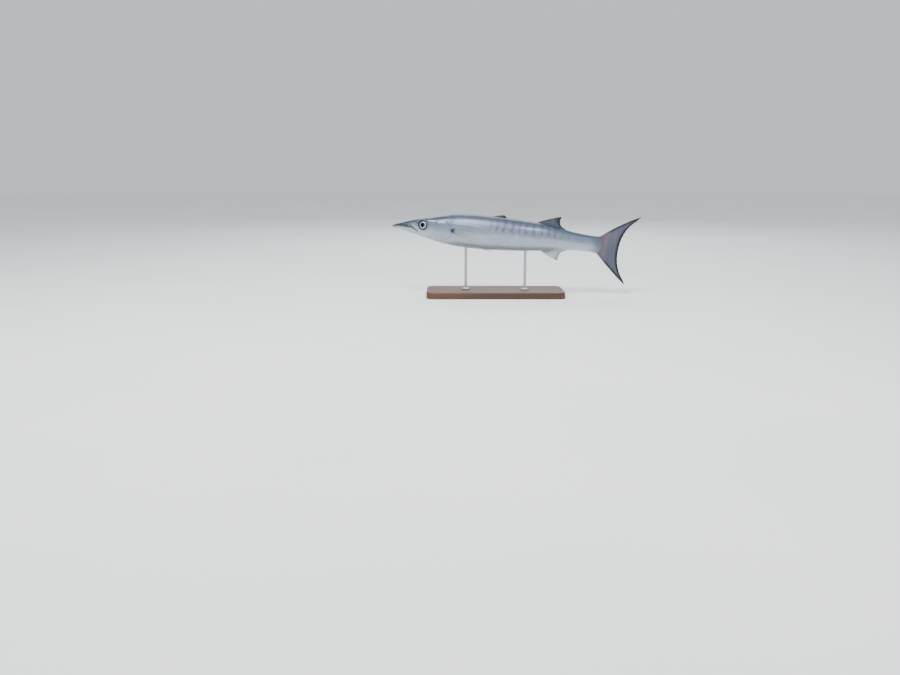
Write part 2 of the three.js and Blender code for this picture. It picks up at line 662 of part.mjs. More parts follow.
// A rod on a small round foot, its upper end shaped to the belly.
function rod(along) {
  const { radius, foot, footHigh, fillet } = ROD;
  const bottom = BASE.high + GAP;
  const place = bend(along, 0, 0);
  const profilePoints = [
    new THREE.Vector2(0, bottom),
    new THREE.Vector2(foot, bottom),
    new THREE.Vector2(foot, bottom + footHigh - 0.8),
    new THREE.Vector2(foot - 0.8, bottom + footHigh),
    new THREE.Vector2(radius + fillet, bottom + footHigh),
    new THREE.Vector2(radius + fillet * 0.3, bottom + footHigh + fillet * 0.35),
    new THREE.Vector2(radius, bottom + footHigh + fillet),
    new THREE.Vector2(radius, place.z),
    new THREE.Vector2(0, place.z),
  ];
  const geometry = new THREE.LatheGeometry(profilePoints, 20);
  geometry.rotateX(Math.PI / 2);
  geometry.translate(place.x, place.y, 0);
  const belly = solid(bent(trunkClearance));
  return geometryOf(keepOne(solid(geometry).subtract(belly)));
}

part("stand_base", geometryOf(solid(baseBoard())), colours.base, 0.5);
ROD_PLACES.forEach((along, i) => {
  part(i === 0 ? "stand_rod_front" : "stand_rod_rear", rod(along), colours.rod, 0.3, 1);
});

export default barracuda;
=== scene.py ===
"""A schooling barracuda at life size, gliding over a plain display stand, as a museum shows it.

The fish is shaped in the straight frame of its own spine, (along, right, up) in millimetres, and
every finished surface is then bent onto the swimming curve and turned to metres. One seamless skin
lies under thousands of small overlapping scales, which carry the same markings as the skin.
"""

import logging
import math
from collections.abc import Callable, Sequence
from dataclasses import dataclass, field, fields
from enum import Enum
from functools import partial
from typing import NamedTuple

import bmesh
import bpy
import numpy as np
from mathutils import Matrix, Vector


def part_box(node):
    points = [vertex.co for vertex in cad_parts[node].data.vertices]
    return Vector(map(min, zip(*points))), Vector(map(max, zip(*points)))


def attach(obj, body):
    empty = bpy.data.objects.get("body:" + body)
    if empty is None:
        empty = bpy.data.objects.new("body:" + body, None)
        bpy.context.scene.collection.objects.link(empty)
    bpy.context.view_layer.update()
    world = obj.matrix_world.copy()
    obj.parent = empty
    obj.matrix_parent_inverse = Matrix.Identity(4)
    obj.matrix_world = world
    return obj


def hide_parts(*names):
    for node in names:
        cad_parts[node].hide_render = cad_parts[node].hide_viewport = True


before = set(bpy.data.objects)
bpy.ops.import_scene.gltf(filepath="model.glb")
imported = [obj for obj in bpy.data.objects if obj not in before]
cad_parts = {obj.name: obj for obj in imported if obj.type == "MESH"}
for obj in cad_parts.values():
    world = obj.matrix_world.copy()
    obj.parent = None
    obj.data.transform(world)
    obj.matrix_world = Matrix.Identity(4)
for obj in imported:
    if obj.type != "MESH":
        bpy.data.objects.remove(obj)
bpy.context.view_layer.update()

log = logging.getLogger("barracuda")

Array = np.ndarray
Reals = float | Array
Marks = dict[str, Array]
Pair = tuple[float, float]
Triple = tuple[float, float, float]
Ramp = tuple[tuple[float, str], ...]
Piece = bpy.types.Object
Material = bpy.types.Material
Socket = bpy.types.NodeSocket
Adder = Callable[..., Socket]
Rays = tuple[Array, Array, Array]
Stretch = tuple[float, float, float, float]
Ridge = Triple
MM = 0.001
DEGREE = math.pi / 180
CRISP = 35 * DEGREE
BODY = "root"


class Side(Enum):
    """The two sides of the fish: the value is the sign of the across direction."""

    LEFT = -1
    RIGHT = 1


def smooth(low: Reals, high: Reals, x: Reals) -> Array:
    """A smooth step: 0 below low, 1 above high, and an even curve between them."""
    t = np.clip((np.asarray(x, float) - low) / (np.asarray(high, float) - low), 0, 1)
    return t * t * (3 - 2 * t)


def lerp(start: Reals, end: Reals, share: Reals) -> Array:
    """Mix two values: the start at share 0 and the end at share 1."""
    return start + (end - start) * share


def hump(x: Reals, centre: Reals, width: Reals) -> Array:
    """A soft single hump, 1 at its centre and about a third one width from it."""
    return np.exp(-(((x - centre) / width) ** 2))


def within(stretch: Stretch, x: Reals) -> Array:
    """1 inside a stretch, which comes in over its first two numbers and ends over its last two."""
    return smooth(stretch[0], stretch[1], x) * (1 - smooth(stretch[2], stretch[3], x))


def bump(ridge: Ridge, x: Reals) -> Array:
    """A soft ridge by its height, place and width, or a groove where its height is below 0."""
    return ridge[0] * hump(x, ridge[1], ridge[2])


def stack(*parts: Array) -> Array:
    """Arrays of one shape side by side in a new last axis."""
    return np.stack(parts, axis=-1)


class Through:
    """A smooth curve through stations, which never swings past them."""

    def __init__(self, at: Sequence[float], values: Sequence[float]) -> None:
        """Work out the slope at each station.

        Args:
            at: The stations, rising.
            values: The value at each station.
        """
        self.at = np.asarray(at, float)
        self.values = np.asarray(values, float)
        slope = np.diff(self.values) / np.diff(self.at)
        same_way = slope[:-1] * slope[1:] > 0
        total = np.where(same_way, slope[:-1] + slope[1:], 1.0)
        inner = np.where(same_way, 2 * slope[:-1] * slope[1:] / total, 0.0)
        self.tangent = np.hstack([slope[:1], inner, slope[-1:]])

    def __call__(self, x: Reals) -> Array:
        """Look the curve up.

        Args:
            x: One place or many.

        Returns:
            The curve's value at each place.
        """
        x = np.asarray(x, float)
        i = np.clip(np.searchsorted(self.at, x, side="right") - 1, 0, len(self.at) - 2)
        long = self.at[i + 1] - self.at[i]
        t = np.clip((x - self.at[i]) / long, 0, 1)
        rest = 1 - t
        level = self.values[i] * (1 + 2 * t) * rest * rest + self.values[i + 1] * t * t * (3 - 2 * t)
        return level + long * t * rest * (self.tangent[i] * rest - self.tangent[i + 1] * t)


@dataclass(frozen=True)
class Station:
    """The outline of the body at one place along the spine, in millimetres.

    Squareness 2 is an ellipse, above and below the widest line.
    """

    at: float
    top: float
    bottom: float
    half: float
    above: float = 2.0
    below: float = 2.0
    widest: float = 0.0


SNOUT_TIP = 5.0
STEM_END = 465.0

PROFILE = (
    Station(0, 1.2, -3.2, 2.6, above=2.2, widest=-0.8),
    Station(21, 6.4, -7.4, 5.4, above=2.4, widest=-0.5),
    Station(48, 14.2, -14.4, 9.0, above=2.6, widest=0.5),
    Station(73, 19.8, -20.6, 13.6, above=3.5, below=1.95, widest=4.5),
    Station(98, 25.0, -26.6, 18.0, above=2.5, below=1.95),
    Station(124, 31.0, -31.8, 21.8, above=2.2, widest=-2),
    Station(153, 35.6, -34.8, 24.6, above=2.1, widest=-1),
    Station(190, 37.4, -36.0, 26.2, above=2.1),
    Station(245, 36.4, -34.4, 26.0, above=2.1, widest=1),
    Station(325, 31.6, -28.6, 21.8, above=2.1, widest=1),
    Station(368, 25.2, -23.2, 17.0, widest=0.5),
    Station(405, 19.4, -19.0, 12.4),
    Station(440, 17.6, -17.4, 8.6),
    Station(STEM_END, 19.2, -19.2, 3.9, above=2.3, below=2.3),
)


@dataclass(frozen=True)
class Spine:
    """The swimming curve: which way the spine runs, and where the fish is held over its base."""

    at: tuple[float, ...] = (0, 150, 300, 400, 465, 560)
    turn: tuple[float, ...] = (-11, -7, 0.5, 4.5, 4.5, 0)
    dip: tuple[float, ...] = (3.4, 4.6, 5.2, 7.2, 9.6, 12.5)
    start: int = -20
    end: int = 580
    balance_at: int = 231
    balance_point: Triple = (0, -6, 136)
    points: Array = field(init=False, repr=False)

    def __post_init__(self) -> None:
        """Step along the curve, one point each millimetre."""
        places = np.arange(self.start, self.end) + 0.5
        walked = np.cumsum(self.direction(places), axis=0)
        points = np.vstack([np.zeros((1, 3)), walked])
        points += np.array(self.balance_point) - points[self.balance_at - self.start]
        object.__setattr__(self, "points", points)

    def direction(self, at: Array) -> Array:
        """Direction of the spine towards the tail.

        Args:
            at: Places along the spine.

        Returns:
            One unit direction for each place.
        """
        right = Through(self.at, self.turn)(at) * DEGREE
        down = Through(self.at, self.dip)(at) * DEGREE
        level = np.cos(down)
        return stack(level * np.cos(right), level * np.sin(right), -np.sin(down))

    def bend(self, straight: Array) -> Array:
        """Bend points of the straight fish onto the swimming curve.

        Args:
            straight: Points as (along, right, up) in millimetres.

        Returns:
            The same points in the model's frame, in metres.
        """
        along, right, up = np.asarray(straight, float).T
        place = along - self.start
        step = np.clip(np.floor(place).astype(int), 0, len(self.points) - 2)
        share = (place - step)[:, None]
        centre = lerp(self.points[step], self.points[step + 1], share)
        back = self.direction(along)
        to_right = np.cross([0, 0, 1], back)
        to_right /= np.linalg.norm(to_right, axis=1, keepdims=True)
        to_up = np.cross(back, to_right)
        return (centre + to_right * right[:, None] + to_up * up[:, None]) * MM


SPINE = Spine()


@dataclass(frozen=True)
class Mouth:
    """The line of the mouth in side view, level and then drooping to its corner."""

    level: float = 0.6
    bend_at: float = 42.0
    corner: float = 60.5
    corner_up: float = -7.6
    open: float = 2.0
    open_to: float = 10.0
    closed: float = 0.4
    inside_from: float = 17.0
    jut: float = 5.0
    jut_over: Pair = (5.0, 50.0)

    def line(self, along: Array) -> Array:
        """Height of the middle of the slit at a place."""
        droop = np.clip((along - self.bend_at) / (self.corner - self.bend_at), 0, None)
        return self.level - droop * droop * (self.level - self.corner_up)

    def half_gap(self, along: Array) -> Array:
        """Half the opening of the slit at a place."""
        return lerp(self.open, self.closed, smooth(self.open_to, self.corner, along)) / 2

    def jut_at(self, along: Array) -> Array:
        """How far the lower jaw reaches out in front of the upper one at a place."""
        return self.jut * (1 - smooth(*self.jut_over, along))


MOUTH = Mouth()


@dataclass(frozen=True)
class GillCover:
    """The rear edge of the gill cover round the head, by angle from the back in degrees."""

    nape: float = 120.0
    rear: float = 138.5
    throat: float = 92.0
    nape_angle: float = 38.0
    rear_angle: float = 98.0
    free: Stretch = (48, 66, 150, 172)
    lift: float = 1.3

    def edge(self, degrees: Array) -> Array:
        """How far back the cover reaches at an angle."""
        rise = (self.rear - self.nape) * smooth(self.nape_angle, self.rear_angle, degrees)
        return self.nape + rise - (self.rear - self.throat) * smooth(self.rear_angle, 180, degrees)

    def flank(self, degrees: Array) -> Array:
        """1 on the flank, where the cover stands free, and 0 on the back and the throat."""
        return within(self.free, degrees)


GILL = GillCover()


def profile(size: str) -> Through:
    """The curve of one of the stations' sizes along the body."""
    return Through([s.at for s in PROFILE], [getattr(s, size) for s in PROFILE])


@dataclass(frozen=True)
class Body:
    """The plain surface of the body, without its plates and folds."""

    tip_round: float = 9.0
    drawn_in: float = 0.9
    taper: Pair = (448.0, 474.0)
    nudge: float = 0.02
    top: Through = profile("top")
    bottom: Through = profile("bottom")
    half: Through = profile("half")
    above: Through = profile("above")
    below: Through = profile("below")
    widest: Through = profile("widest")

    def rounding(self, along: Array, tip: Reals = SNOUT_TIP) -> Array:
        """Quarter-round closing of a jaw towards its tip."""
        t = np.clip((along - tip) / self.tip_round, 0, 1)
        return np.sqrt(1 - (1 - t) ** 2)

    def section(self, along: Array, angle: Array, tip: Reals = SNOUT_TIP) -> tuple[Array, Array]:
        """The outline across the body.

        Args:
            along: Places along the spine.
            angle: Angles from the back over the right side.
            tip: Where the jaw that the point is on comes to its end.

        Returns:
            How far right and how far up each point lies.
        """
        closing = self.rounding(along, tip)
        widest = self.widest(along)
        upper = np.cos(angle) >= 0
        square = 2 / np.where(upper, self.above(along), self.below(along))
        reach = np.where(upper, self.top(along) - widest, widest - self.bottom(along))
        across = np.sign(np.sin(angle)) * np.abs(np.sin(angle)) ** square
        rise = np.sign(np.cos(angle)) * np.abs(np.cos(angle)) ** square
        half = self.half(along) * (1 - self.drawn_in * smooth(*self.taper, along))
        return half * across * closing, (widest + reach * rise) * closing

    def angle_at(self, along: Array, up: Array, tip: Reals = SNOUT_TIP) -> Array:
        """Angle at which the outline has a given height.

        Args:
            along: Places along the spine.
            up: The height wanted at each place.
            tip: Where the jaw comes to its end.

        Returns:
            Angles from the back, held to the outline where it is too low or too high.
        """
        closing = np.maximum(self.rounding(along, tip), 1e-3)
        widest = self.widest(along)
        rise = up / closing - widest
        reach = np.where(rise >= 0, self.top(along) - widest, widest - self.bottom(along))
        square = np.where(rise >= 0, self.above(along), self.below(along))
        part = np.clip(np.abs(rise) / reach, 0, 1) ** (square / 2)
        return np.arccos(np.sign(rise) * part)

    def outward(self, along: Array, angle: Array, tip: Reals = SNOUT_TIP) -> tuple[Array, Array]:
        """Direction square to the outline, as (right, up).

        Args:
            along: Places along the spine.
            angle: Angles from the back.
            tip: Where the jaw comes to its end.

        Returns:
            How far right and how far up each direction points.
        """
        ahead = self.section(along, angle + self.nudge, tip)
        behind = self.section(along, angle - self.nudge, tip)
        right = -(ahead[1] - behind[1])
        up = ahead[0] - behind[0]
        long = np.maximum(np.hypot(right, up), 1e-9)
        return right / long, up / long

    def side_at(self, along: float, up: float) -> float:
        """How far to the side the surface lies at a place and a height."""
        angle = self.angle_at(np.array([along]), np.array([up]))
        return float(self.section(np.array([along]), angle)[0][0])


SHAPE = Body()


def add_object(name: str, data: bpy.types.ID) -> Piece:
    """Put a mesh, a lamp or a camera into the scene.

    Args:
        name: The name of the new object.
        data: What it shows.

    Returns:
        The object.
    """
    piece = bpy.data.objects.new(name, data)
    bpy.context.scene.collection.objects.link(piece)
    return piece


def make_piece(
    name: str, finish: Material, points: Array, faces: Sequence[Array], marks: Marks, bent: bool = True
) -> Piece:
    """Make a Blender object.

    Args:
        name: The name of the object.
        finish: Its material.
        points: Its points, (n, 3).
        faces: Its faces by point number, (m, corners), each kind of face in an array of its own.
        marks: Numbers to keep for each point, by name.
        bent: Whether the points are in the straight frame and still need bending.

    Returns:
        The new object, in the scene.
    """
    world = SPINE.bend(points) if bent else points * MM
    mesh = bpy.data.meshes.new(name)
    mesh.from_pydata(world.tolist(), [], [face for alike in faces for face in alike.tolist()])
    for mark, values in marks.items():
        layer = mesh.attributes.new(mark, "FLOAT", "POINT")
        layer.data.foreach_set("value", values.astype(np.float32).ravel())
    mesh.polygons.foreach_set("use_smooth", np.ones(len(mesh.polygons), dtype=bool))
    mesh.materials.append(finish)
    mesh.validate()
    mesh.update()
    return add_object(name, mesh)


def grid_faces(rows: int, columns: int, closed: bool = False) -> Array:
    """Faces of a grid of points.

    Args:
        rows: How many rows of points there are.
        columns: How many points there are in a row.
        closed: Whether each row closes on itself.

    Returns:
        Faces as point numbers, (m, 4).
    """
    across = columns if closed else columns - 1
    row, column = np.meshgrid(np.arange(rows - 1), np.arange(across), indexing="ij")
    ahead = (column + 1) % columns
    a = row * columns + column
    b = row * columns + ahead
    return stack(a, b, b + columns, a + columns).reshape(-1, 4)


def circle(count: int) -> Array:
    """Even angles once round."""
    return np.linspace(0, 2 * np.pi, count, endpoint=False)


def tube_faces(rings: int, around: int) -> list[Array]:
    """Faces of a tube with both its ends closed.

    Args:
        rings: How many rings of points it has.
        around: How many points there are in a ring.

    Returns:
        The faces of its side, and its two ends.
    """
    ring = np.arange(around)
    ends = np.stack([ring[::-1], ring + (rings - 1) * around])
    return [grid_faces(rings, around, closed=True), ends]


def repeat_faces(faces: Sequence[Array], count: int, each: int) -> list[Array]:
    """The faces of a count of alike patches with so many points each, from those of the first one."""
    shift = (np.arange(count) * each)[:, None, None]
    return [(alike[None] + shift).reshape(-1, alike.shape[1]) for alike in faces]


def unwrap(piece: Piece, across: Array, along: Array) -> None:
    """Give a piece its bake map from two numbers for each point.

    Args:
        piece: The mesh object.
        across: The first map coordinate of each point, 0 to 1.
        along: The second map coordinate of each point, 0 to 1.
    """
    mesh = piece.data
    corner_points = np.empty(len(mesh.loops), dtype=np.int32)
    mesh.loops.foreach_get("vertex_index", corner_points)
    both = stack(across, along)[corner_points]
    layer = mesh.uv_layers.new(name="OFBake")
    layer.data.foreach_set("uv", both.astype(np.float32).ravel())


@dataclass
class Girth:
    """How the angle round the body and the distance over its skin go together."""

    start: float = 20.0
    end: float = STEM_END + 6
    step: float = 2.0
    parts: int = 240

    def __post_init__(self) -> None:
        """Measure the half outline every few millimetres."""
        self.along = np.arange(self.start, self.end + self.step, self.step)
        shares = np.linspace(0, 1, self.parts + 1)
        along, angles = np.meshgrid(self.along, shares * np.pi, indexing="ij")
        right, up = SHAPE.section(along, angles)
        steps = np.hypot(np.diff(right, axis=1), np.diff(up, axis=1))
        self.walked = np.hstack([np.zeros((len(along), 1)), np.cumsum(steps, axis=1)])
        self.share_of = self.walked / self.walked[:, -1:]
        self.angle_of = np.stack([np.interp(shares, row, shares * np.pi) for row in self.share_of])

    def look(self, table: Array, along: Array, share: Array) -> Array:
        """Look a table up between its rows and columns.

        Args:
            table: One row for each place, one column for each part of the half outline.
            along: Places along the spine.
            share: How far across the table to look, from 0 to 1.

        Returns:
            The table's value there.
        """
        row = np.clip((along - self.start) / self.step, 0, len(self.along) - 1.001)
        column = np.clip(share * self.parts, 0, self.parts - 0.001)
        i = row.astype(int)
        j = column.astype(int)
        u = row - i
        v = column - j
        near = lerp(table[i, j], table[i, j + 1], v)
        far = lerp(table[i + 1, j], table[i + 1, j + 1], v)
        return lerp(near, far, u)

    def half(self, along: Array) -> Array:
        """Length of the half outline from the back to the belly."""
        return np.interp(along, self.along, self.walked[:, -1])

    def angle(self, along: Array, share: Array) -> Array:
        """Angle at a share of the half outline."""
        return self.look(self.angle_of, along, share)

    def share(self, along: Array, angle: Array) -> Array:
        """Share of the half outline at an angle."""
        return self.look(self.share_of, along, angle / np.pi)


GIRTH = Girth()


class Spots(NamedTuple):
    """Points of the fish: places along the spine, heights over it and degrees from the back."""

    along: Array
    up: Array
    degrees: Array


@dataclass(frozen=True)
class Eye:
    """Place and size of the eyes, which look a little forward and up."""

    at: float = 73.0
    up: float = 6.0
    socket: float = 9.9
    sunk: float = 2.2
    forward: float = 9.0
    upward: float = 8.0

    def beyond(self, spots: Spots) -> Array:
        """How far points lie outside the edge of the socket, in side view."""
        return np.hypot(spots.along - self.at, spots.up - self.up) - self.socket


EYE = Eye()


@dataclass(frozen=True)
class HeadRelief:
    """How the plates, folds and pits of the head stand out of its plain surface.

    The place of each ridge is counted from the line, edge or angle that it follows.
    """

    lip_lift: float = 0.75
    lip_high: float = 2.4
    lip_ends: Stretch = (7, 14, 52, MOUTH.corner + 2)
    paddle: Pair = (53.0, 3.2)
    paddle_size: Pair = (11.0, 3.4)
    paddle_fall: float = 0.12
    paddle_lift: float = 0.7
    paddle_edge: Ridge = (-0.35, 1.12, 0.1)
    paddle_ends: Stretch = (30, 40, 66, 70)
    rim: Ridge = (0.95, 1.1, 1.15)
    crease: Ridge = (-0.3, 3.4, 0.9)
    hollow: float = 5.2
    cheek_at: float = 104.0
    cheek_forward: float = 26.0
    cheek_lift: float = 0.7
    cheek_groove: Ridge = (-0.55, -1.5, 1.0)
    second_groove: Ridge = (-0.3, -6.4, 0.9)
    cover_ridge: Ridge = (0.4, 1.5, 1.1)
    cover_ridge_ends: Stretch = (106, 112, 124, 133)
    nostrils: tuple[Triple, ...] = ((57.6, 9.4, 0.8), (60.8, 9.7, 1.2))
    nostril_rim: Ridge = (0.35, 0.5, 0.45)
    nostril_deep: float = 1.5
    snout_groove: Ridge = (-0.45, 15, 3.2)
    snout_ends: Stretch = (14, 24, 70, 88)
    crown: Ridge = (0.3, 0, 5)
    crown_ends: Stretch = (20, 40, 90, 112)
    jaw_pores: Ridge = (-0.35, -5.4, 0.6)
    jaw_pore_apart: float = 5.2
    jaw_pore_ends: Stretch = (10, 16, 52, 60)
    brow_pores: Ridge = (-0.3, 27, 1.4)
    brow_pore_apart: float = 6.0
    brow_pore_ends: Stretch = (78, 84, 108, 116)
    chin_groove: Ridge = (-0.8, 180, 5.5)
    chin_ends: Stretch = (12, 30, 80, 96)
    gill_folds: Ridge = (0.35, 161, 10)
    gill_fold_apart: float = 8.6
    gill_fold_ends: Stretch = (62, 74, 92, 112)
    jaw_joint: Ridge = (-0.55, 61.0, 1.1)
    joint_lean: float = 0.95
    joint_ends: Stretch = (50, 58, 70, 78)

    def lips(self, spots: Spots) -> Array:
        """The lips and the paddle of the upper jaw over the mouth's corner.

        Args:
            spots: The points.

        Returns:
            Heights over the plain surface.
        """
        along, up, _ = spots
        over = up - MOUTH.line(along)
        lip = self.lip_lift * np.clip(1 - (over / self.lip_high) ** 2, 0, None)
        back = along - self.paddle[0]
        rise = over - self.paddle[1] + self.paddle_fall * back
        far = np.hypot(back / self.paddle_size[0], rise / self.paddle_size[1])
        plate = self.paddle_lift * (1 - smooth(0.72, 1.0, far)) + bump(self.paddle_edge, far)
        return lip * within(self.lip_ends, along) + plate * within(self.paddle_ends, along)

    def eye_socket(self, spots: Spots) -> Array:
        """The raised rim round the eye and the hollow that holds it."""
        out = EYE.beyond(spots)
        return bump(self.rim, out) + bump(self.crease, out) - self.hollow * (1 - smooth(-1.3, 0.15, out))

    def cheek_edge(self, up: Array) -> Array:
        """Where the rear edge of the cheek plate lies at a height."""
        low = smooth(0, 26, -up)
        return self.cheek_at - self.cheek_forward * low * low

    def cheek(self, spots: Spots) -> Array:
        """The edge of the cheek plate, the gill cover behind it and their grooves.

        Args:
            spots: The points.

        Returns:
            Heights over the plain surface.
        """
        along, up, degrees = spots
        past = along - self.cheek_edge(up)
        step = self.cheek_lift * smooth(-1.2, 1.2, past)
        cover = (GILL.lift - self.cheek_lift) * smooth(104, 136, along)
        grooves = bump(self.cheek_groove, past) + bump(self.second_groove, past) * smooth(-6, 4, -up)
        # The ridge on the gill cover falls a little to the rear.
        ridge = bump(self.cover_ridge, up + 0.16 * (along - 110)) * within(self.cover_ridge_ends, along)
        return (step + cover + grooves) * GILL.flank(degrees) + ridge

    def pits(self, spots: Spots) -> Array:
        """Nostrils, pores of the head's sense line and the grooves on the snout's top.

        Args:
            spots: The points.

        Returns:
            Heights over the plain surface.
        """
        along, up, degrees = spots
        total = np.zeros_like(along)
        for place, height, radius in self.nostrils:
            far = np.hypot(along - place, up - height)
            total += bump(self.nostril_rim, far - radius)
            total -= self.nostril_deep * (1 - smooth(radius * 0.6, radius * 1.15, far))
        total += bump(self.snout_groove, degrees + 0.08 * along) * within(self.snout_ends, along)
        total += bump(self.crown, degrees) * within(self.crown_ends, along)
        beat = np.mod(along, self.jaw_pore_apart)
        jaw = bump(self.jaw_pores, up - MOUTH.line(along)) * hump(beat, self.jaw_pore_apart / 2, 0.55)
        beat = np.mod(along + 1.3, self.brow_pore_apart)
        brow = bump(self.brow_pores, degrees) * hump(beat, self.brow_pore_apart / 2, 0.6)
        return total + jaw * within(self.jaw_pore_ends, along) + brow * within(self.brow_pore_ends, along)

    def throat(self, spots: Spots) -> Array:
        """The chin's groove, the folds under the gill cover and the crease of the jaw's joint.

        Args:
            spots: The points.

        Returns:
            Heights over the plain surface.
        """
        along, up, degrees = spots
        chin = bump(self.chin_groove, degrees) * within(self.chin_ends, along)
        fan = bump(self.gill_folds, degrees) * np.cos((degrees - 150) / self.gill_fold_apart * 2 * np.pi)
        below = MOUTH.corner_up - up
        joint = bump(self.jaw_joint, along - self.joint_lean * below) * smooth(0, 4, below)
        return chin + fan * within(self.gill_fold_ends, along) + joint * within(self.joint_ends, along)

    def total(self, spots: Spots) -> Array:
        """All of the head's relief together, square to the plain surface."""
        parts = (self.lips, self.cheek, self.throat, self.pits, self.eye_socket)
        return sum(part(spots) for part in parts)


RELIEF = HeadRelief()


@dataclass(frozen=True)
class Flank:
    """The lateral line and the muscle folds of the trunk."""

    shoulder: float = 0.36
    tail: float = 0.5
    ridge: Ridge = (0.25, 0.0, 0.02)
    fold_apart: float = 5.6
    fold_bend: float = 26.0
    fold_lift: float = 0.05

    def line(self, along: Array) -> Array:
        """Where the lateral line runs, as a share of the half circle's angle."""
        return lerp(self.shoulder, self.tail, smooth(130, 300, along))

    def relief(self, along: Array, angle: Array) -> Array:
        """Faint muscle folds, bent forward at the lateral line, and the line's own low ridge.

        Args:
            along: Places along the spine.
            angle: Angles from the back.

        Returns:
            Heights over the plain surface.
        """
        half = angle / np.pi
        ridge = bump(self.ridge, half - self.line(along)) * smooth(130, 142, along)
        fold = np.cos((along + self.fold_bend * np.abs(half - 0.5)) / self.fold_apart * 2 * np.pi)
        return ridge + self.fold_lift * fold * smooth(140, 170, along) * np.sin(angle) ** 2


FLANK = Flank()


@dataclass(frozen=True)
class Markings:
    """Where the skin and its scales are dark, barred or silver, with painted shade in their slits, folds and
    pits, kept as numbers on their points.
    """

    lip: Ridge = (0.95, 0.0, 1.9)
    lip_ends: Stretch = (4, 9, MOUTH.corner - 1, MOUTH.corner + 4)
    upper_edge: Ridge = (0.6, 2.3, 1.3)
    lower_fold: Ridge = (0.6, -2.6, 0.7)
    fold_ends: Stretch = (24, 40, 56, 62)
    socket_edge_shade: Ridge = (0.75, 0.1, 1.3)
    behind_eye: Ridge = (0.3, 3.6, 1.6)
    gill_gap_shade: Ridge = (0.35, -0.4, 1.1)
    bar_apart: float = 15.5
    bar_lean: float = 10.0
    bar_ends: Stretch = (200, 236, 400, 440)
    spot_at: float = 141.5
    spot_share: float = 0.5
    spot_long: float = 6.5
    spot_high: float = 0.062

    def dark(self, spots: Spots) -> Array:
        """How dark the skin is drawn, from 0 to 1: dark pigment on the snout's top and the chin, dark lines
        along the upper lip and behind the eye, and painted shade in the mouth's slit, the fold along the
        lower jaw, the nostrils, round the eye's socket and in the gap under the gill cover's edge.

        Args:
            spots: The points.

        Returns:
            The darkness, from 0 to 1.
        """
        along, up, degrees = spots
        over = up - MOUTH.line(along)
        # Painted shade along the mouth's slit, and a dark line along the front of the upper lip's edge.
        edge = bump(self.upper_edge, over) * (1 - smooth(38, 54, along))
        lips = (bump(self.lip, over) + edge) * within(self.lip_ends, along)
        # Painted shade in the fold along the lower jaw.
        fold = bump(self.lower_fold, over) * within(self.fold_ends, along)
        out = EYE.beyond(spots)
        behind = bump(self.behind_eye, out) * smooth(-0.5, 0.7, (along - EYE.at) / 10)
        # Painted shade in the gap under the free edge of the gill cover.
        margin = bump(self.gill_gap_shade, along - GILL.edge(degrees)) * GILL.flank(degrees)
        # Painted shade in the nostrils.
        nostril_shade = sum(0.9 * hump(np.hypot(along - x, up - z), 0, r * 1.1) for x, z, r in RELIEF.nostrils)
        chin = 0.75 * (1 - smooth(5, 18, along)) * smooth(-8, -2, up)
        snout = 0.5 * (1 - smooth(22, 62, along)) * smooth(0.5, 4, over)
        # Painted shade round the edge of the eye's socket, and a darker band behind the eye.
        eye = bump(self.socket_edge_shade, out) + behind
        return np.clip(lips + fold + eye + margin + nostril_shade + chin + snout, 0, 1)

    def bars(self, along: Array, share: Array) -> Array:
        """Short dusky bars on the upper flank, strongest before the second dorsal fin.

        Args:
            along: Places along the spine.
            share: Shares of the half outline.

        Returns:
            How strong the bars are, from 0 to 1.
        """
        wander = 1.3 * np.sin(along * 0.11) + 0.9 * np.sin(share * 19 + along * 0.05)
        wave = np.sin((along + self.bar_lean * share + wander) / self.bar_apart * 2 * np.pi)
        tall = within((0.08, 0.18, 0.38, 0.52 + 0.02 * np.sin(along * 0.4)), share)
        long = within(self.bar_ends, along) * (1 - 0.75 * smooth(330, 400, along))
        return smooth(-0.1, 0.9, wave) * tall * long

    def spot(self, along: Array, share: Array) -> Array:
        """The small dark spot at the root of the pectoral fin."""
        far = np.hypot((along - self.spot_at) / self.spot_long, (share - self.spot_share) / self.spot_high)
        return 0.9 * (1 - smooth(0.5, 1.3, far))

    def silver(self, along: Array, share: Array, dark: Array) -> Array:
        """How metallic the skin shines: most on the flank and the belly, least on the fins' roots."""
        lit = lerp(0.08, 0.66, smooth(0.1, 0.5, share))
        return lit * (1 - 0.9 * smooth(0, 0.6, dark)) * (1 - smooth(438, 466, along))

    def total(self, spots: Spots, share: Array) -> Marks:
        """Every marking.

        Args:
            spots: The points.
            share: Shares of the half outline from the back to the belly.

        Returns:
            The numbers by name, each from 0 to 1.
        """
        along = spots.along
        dark = self.dark(spots)
        return {
            "share": share,
            "dark": dark,
            "bars": 0.68 * self.bars(along, share),
            "spot": self.spot(along, share),
            "head": 1 - smooth(96, 150, along),
            "stem": 0.9 * smooth(428, 466, along),
            "silver": self.silver(along, share, dark),
        }


MARKINGS = Markings()


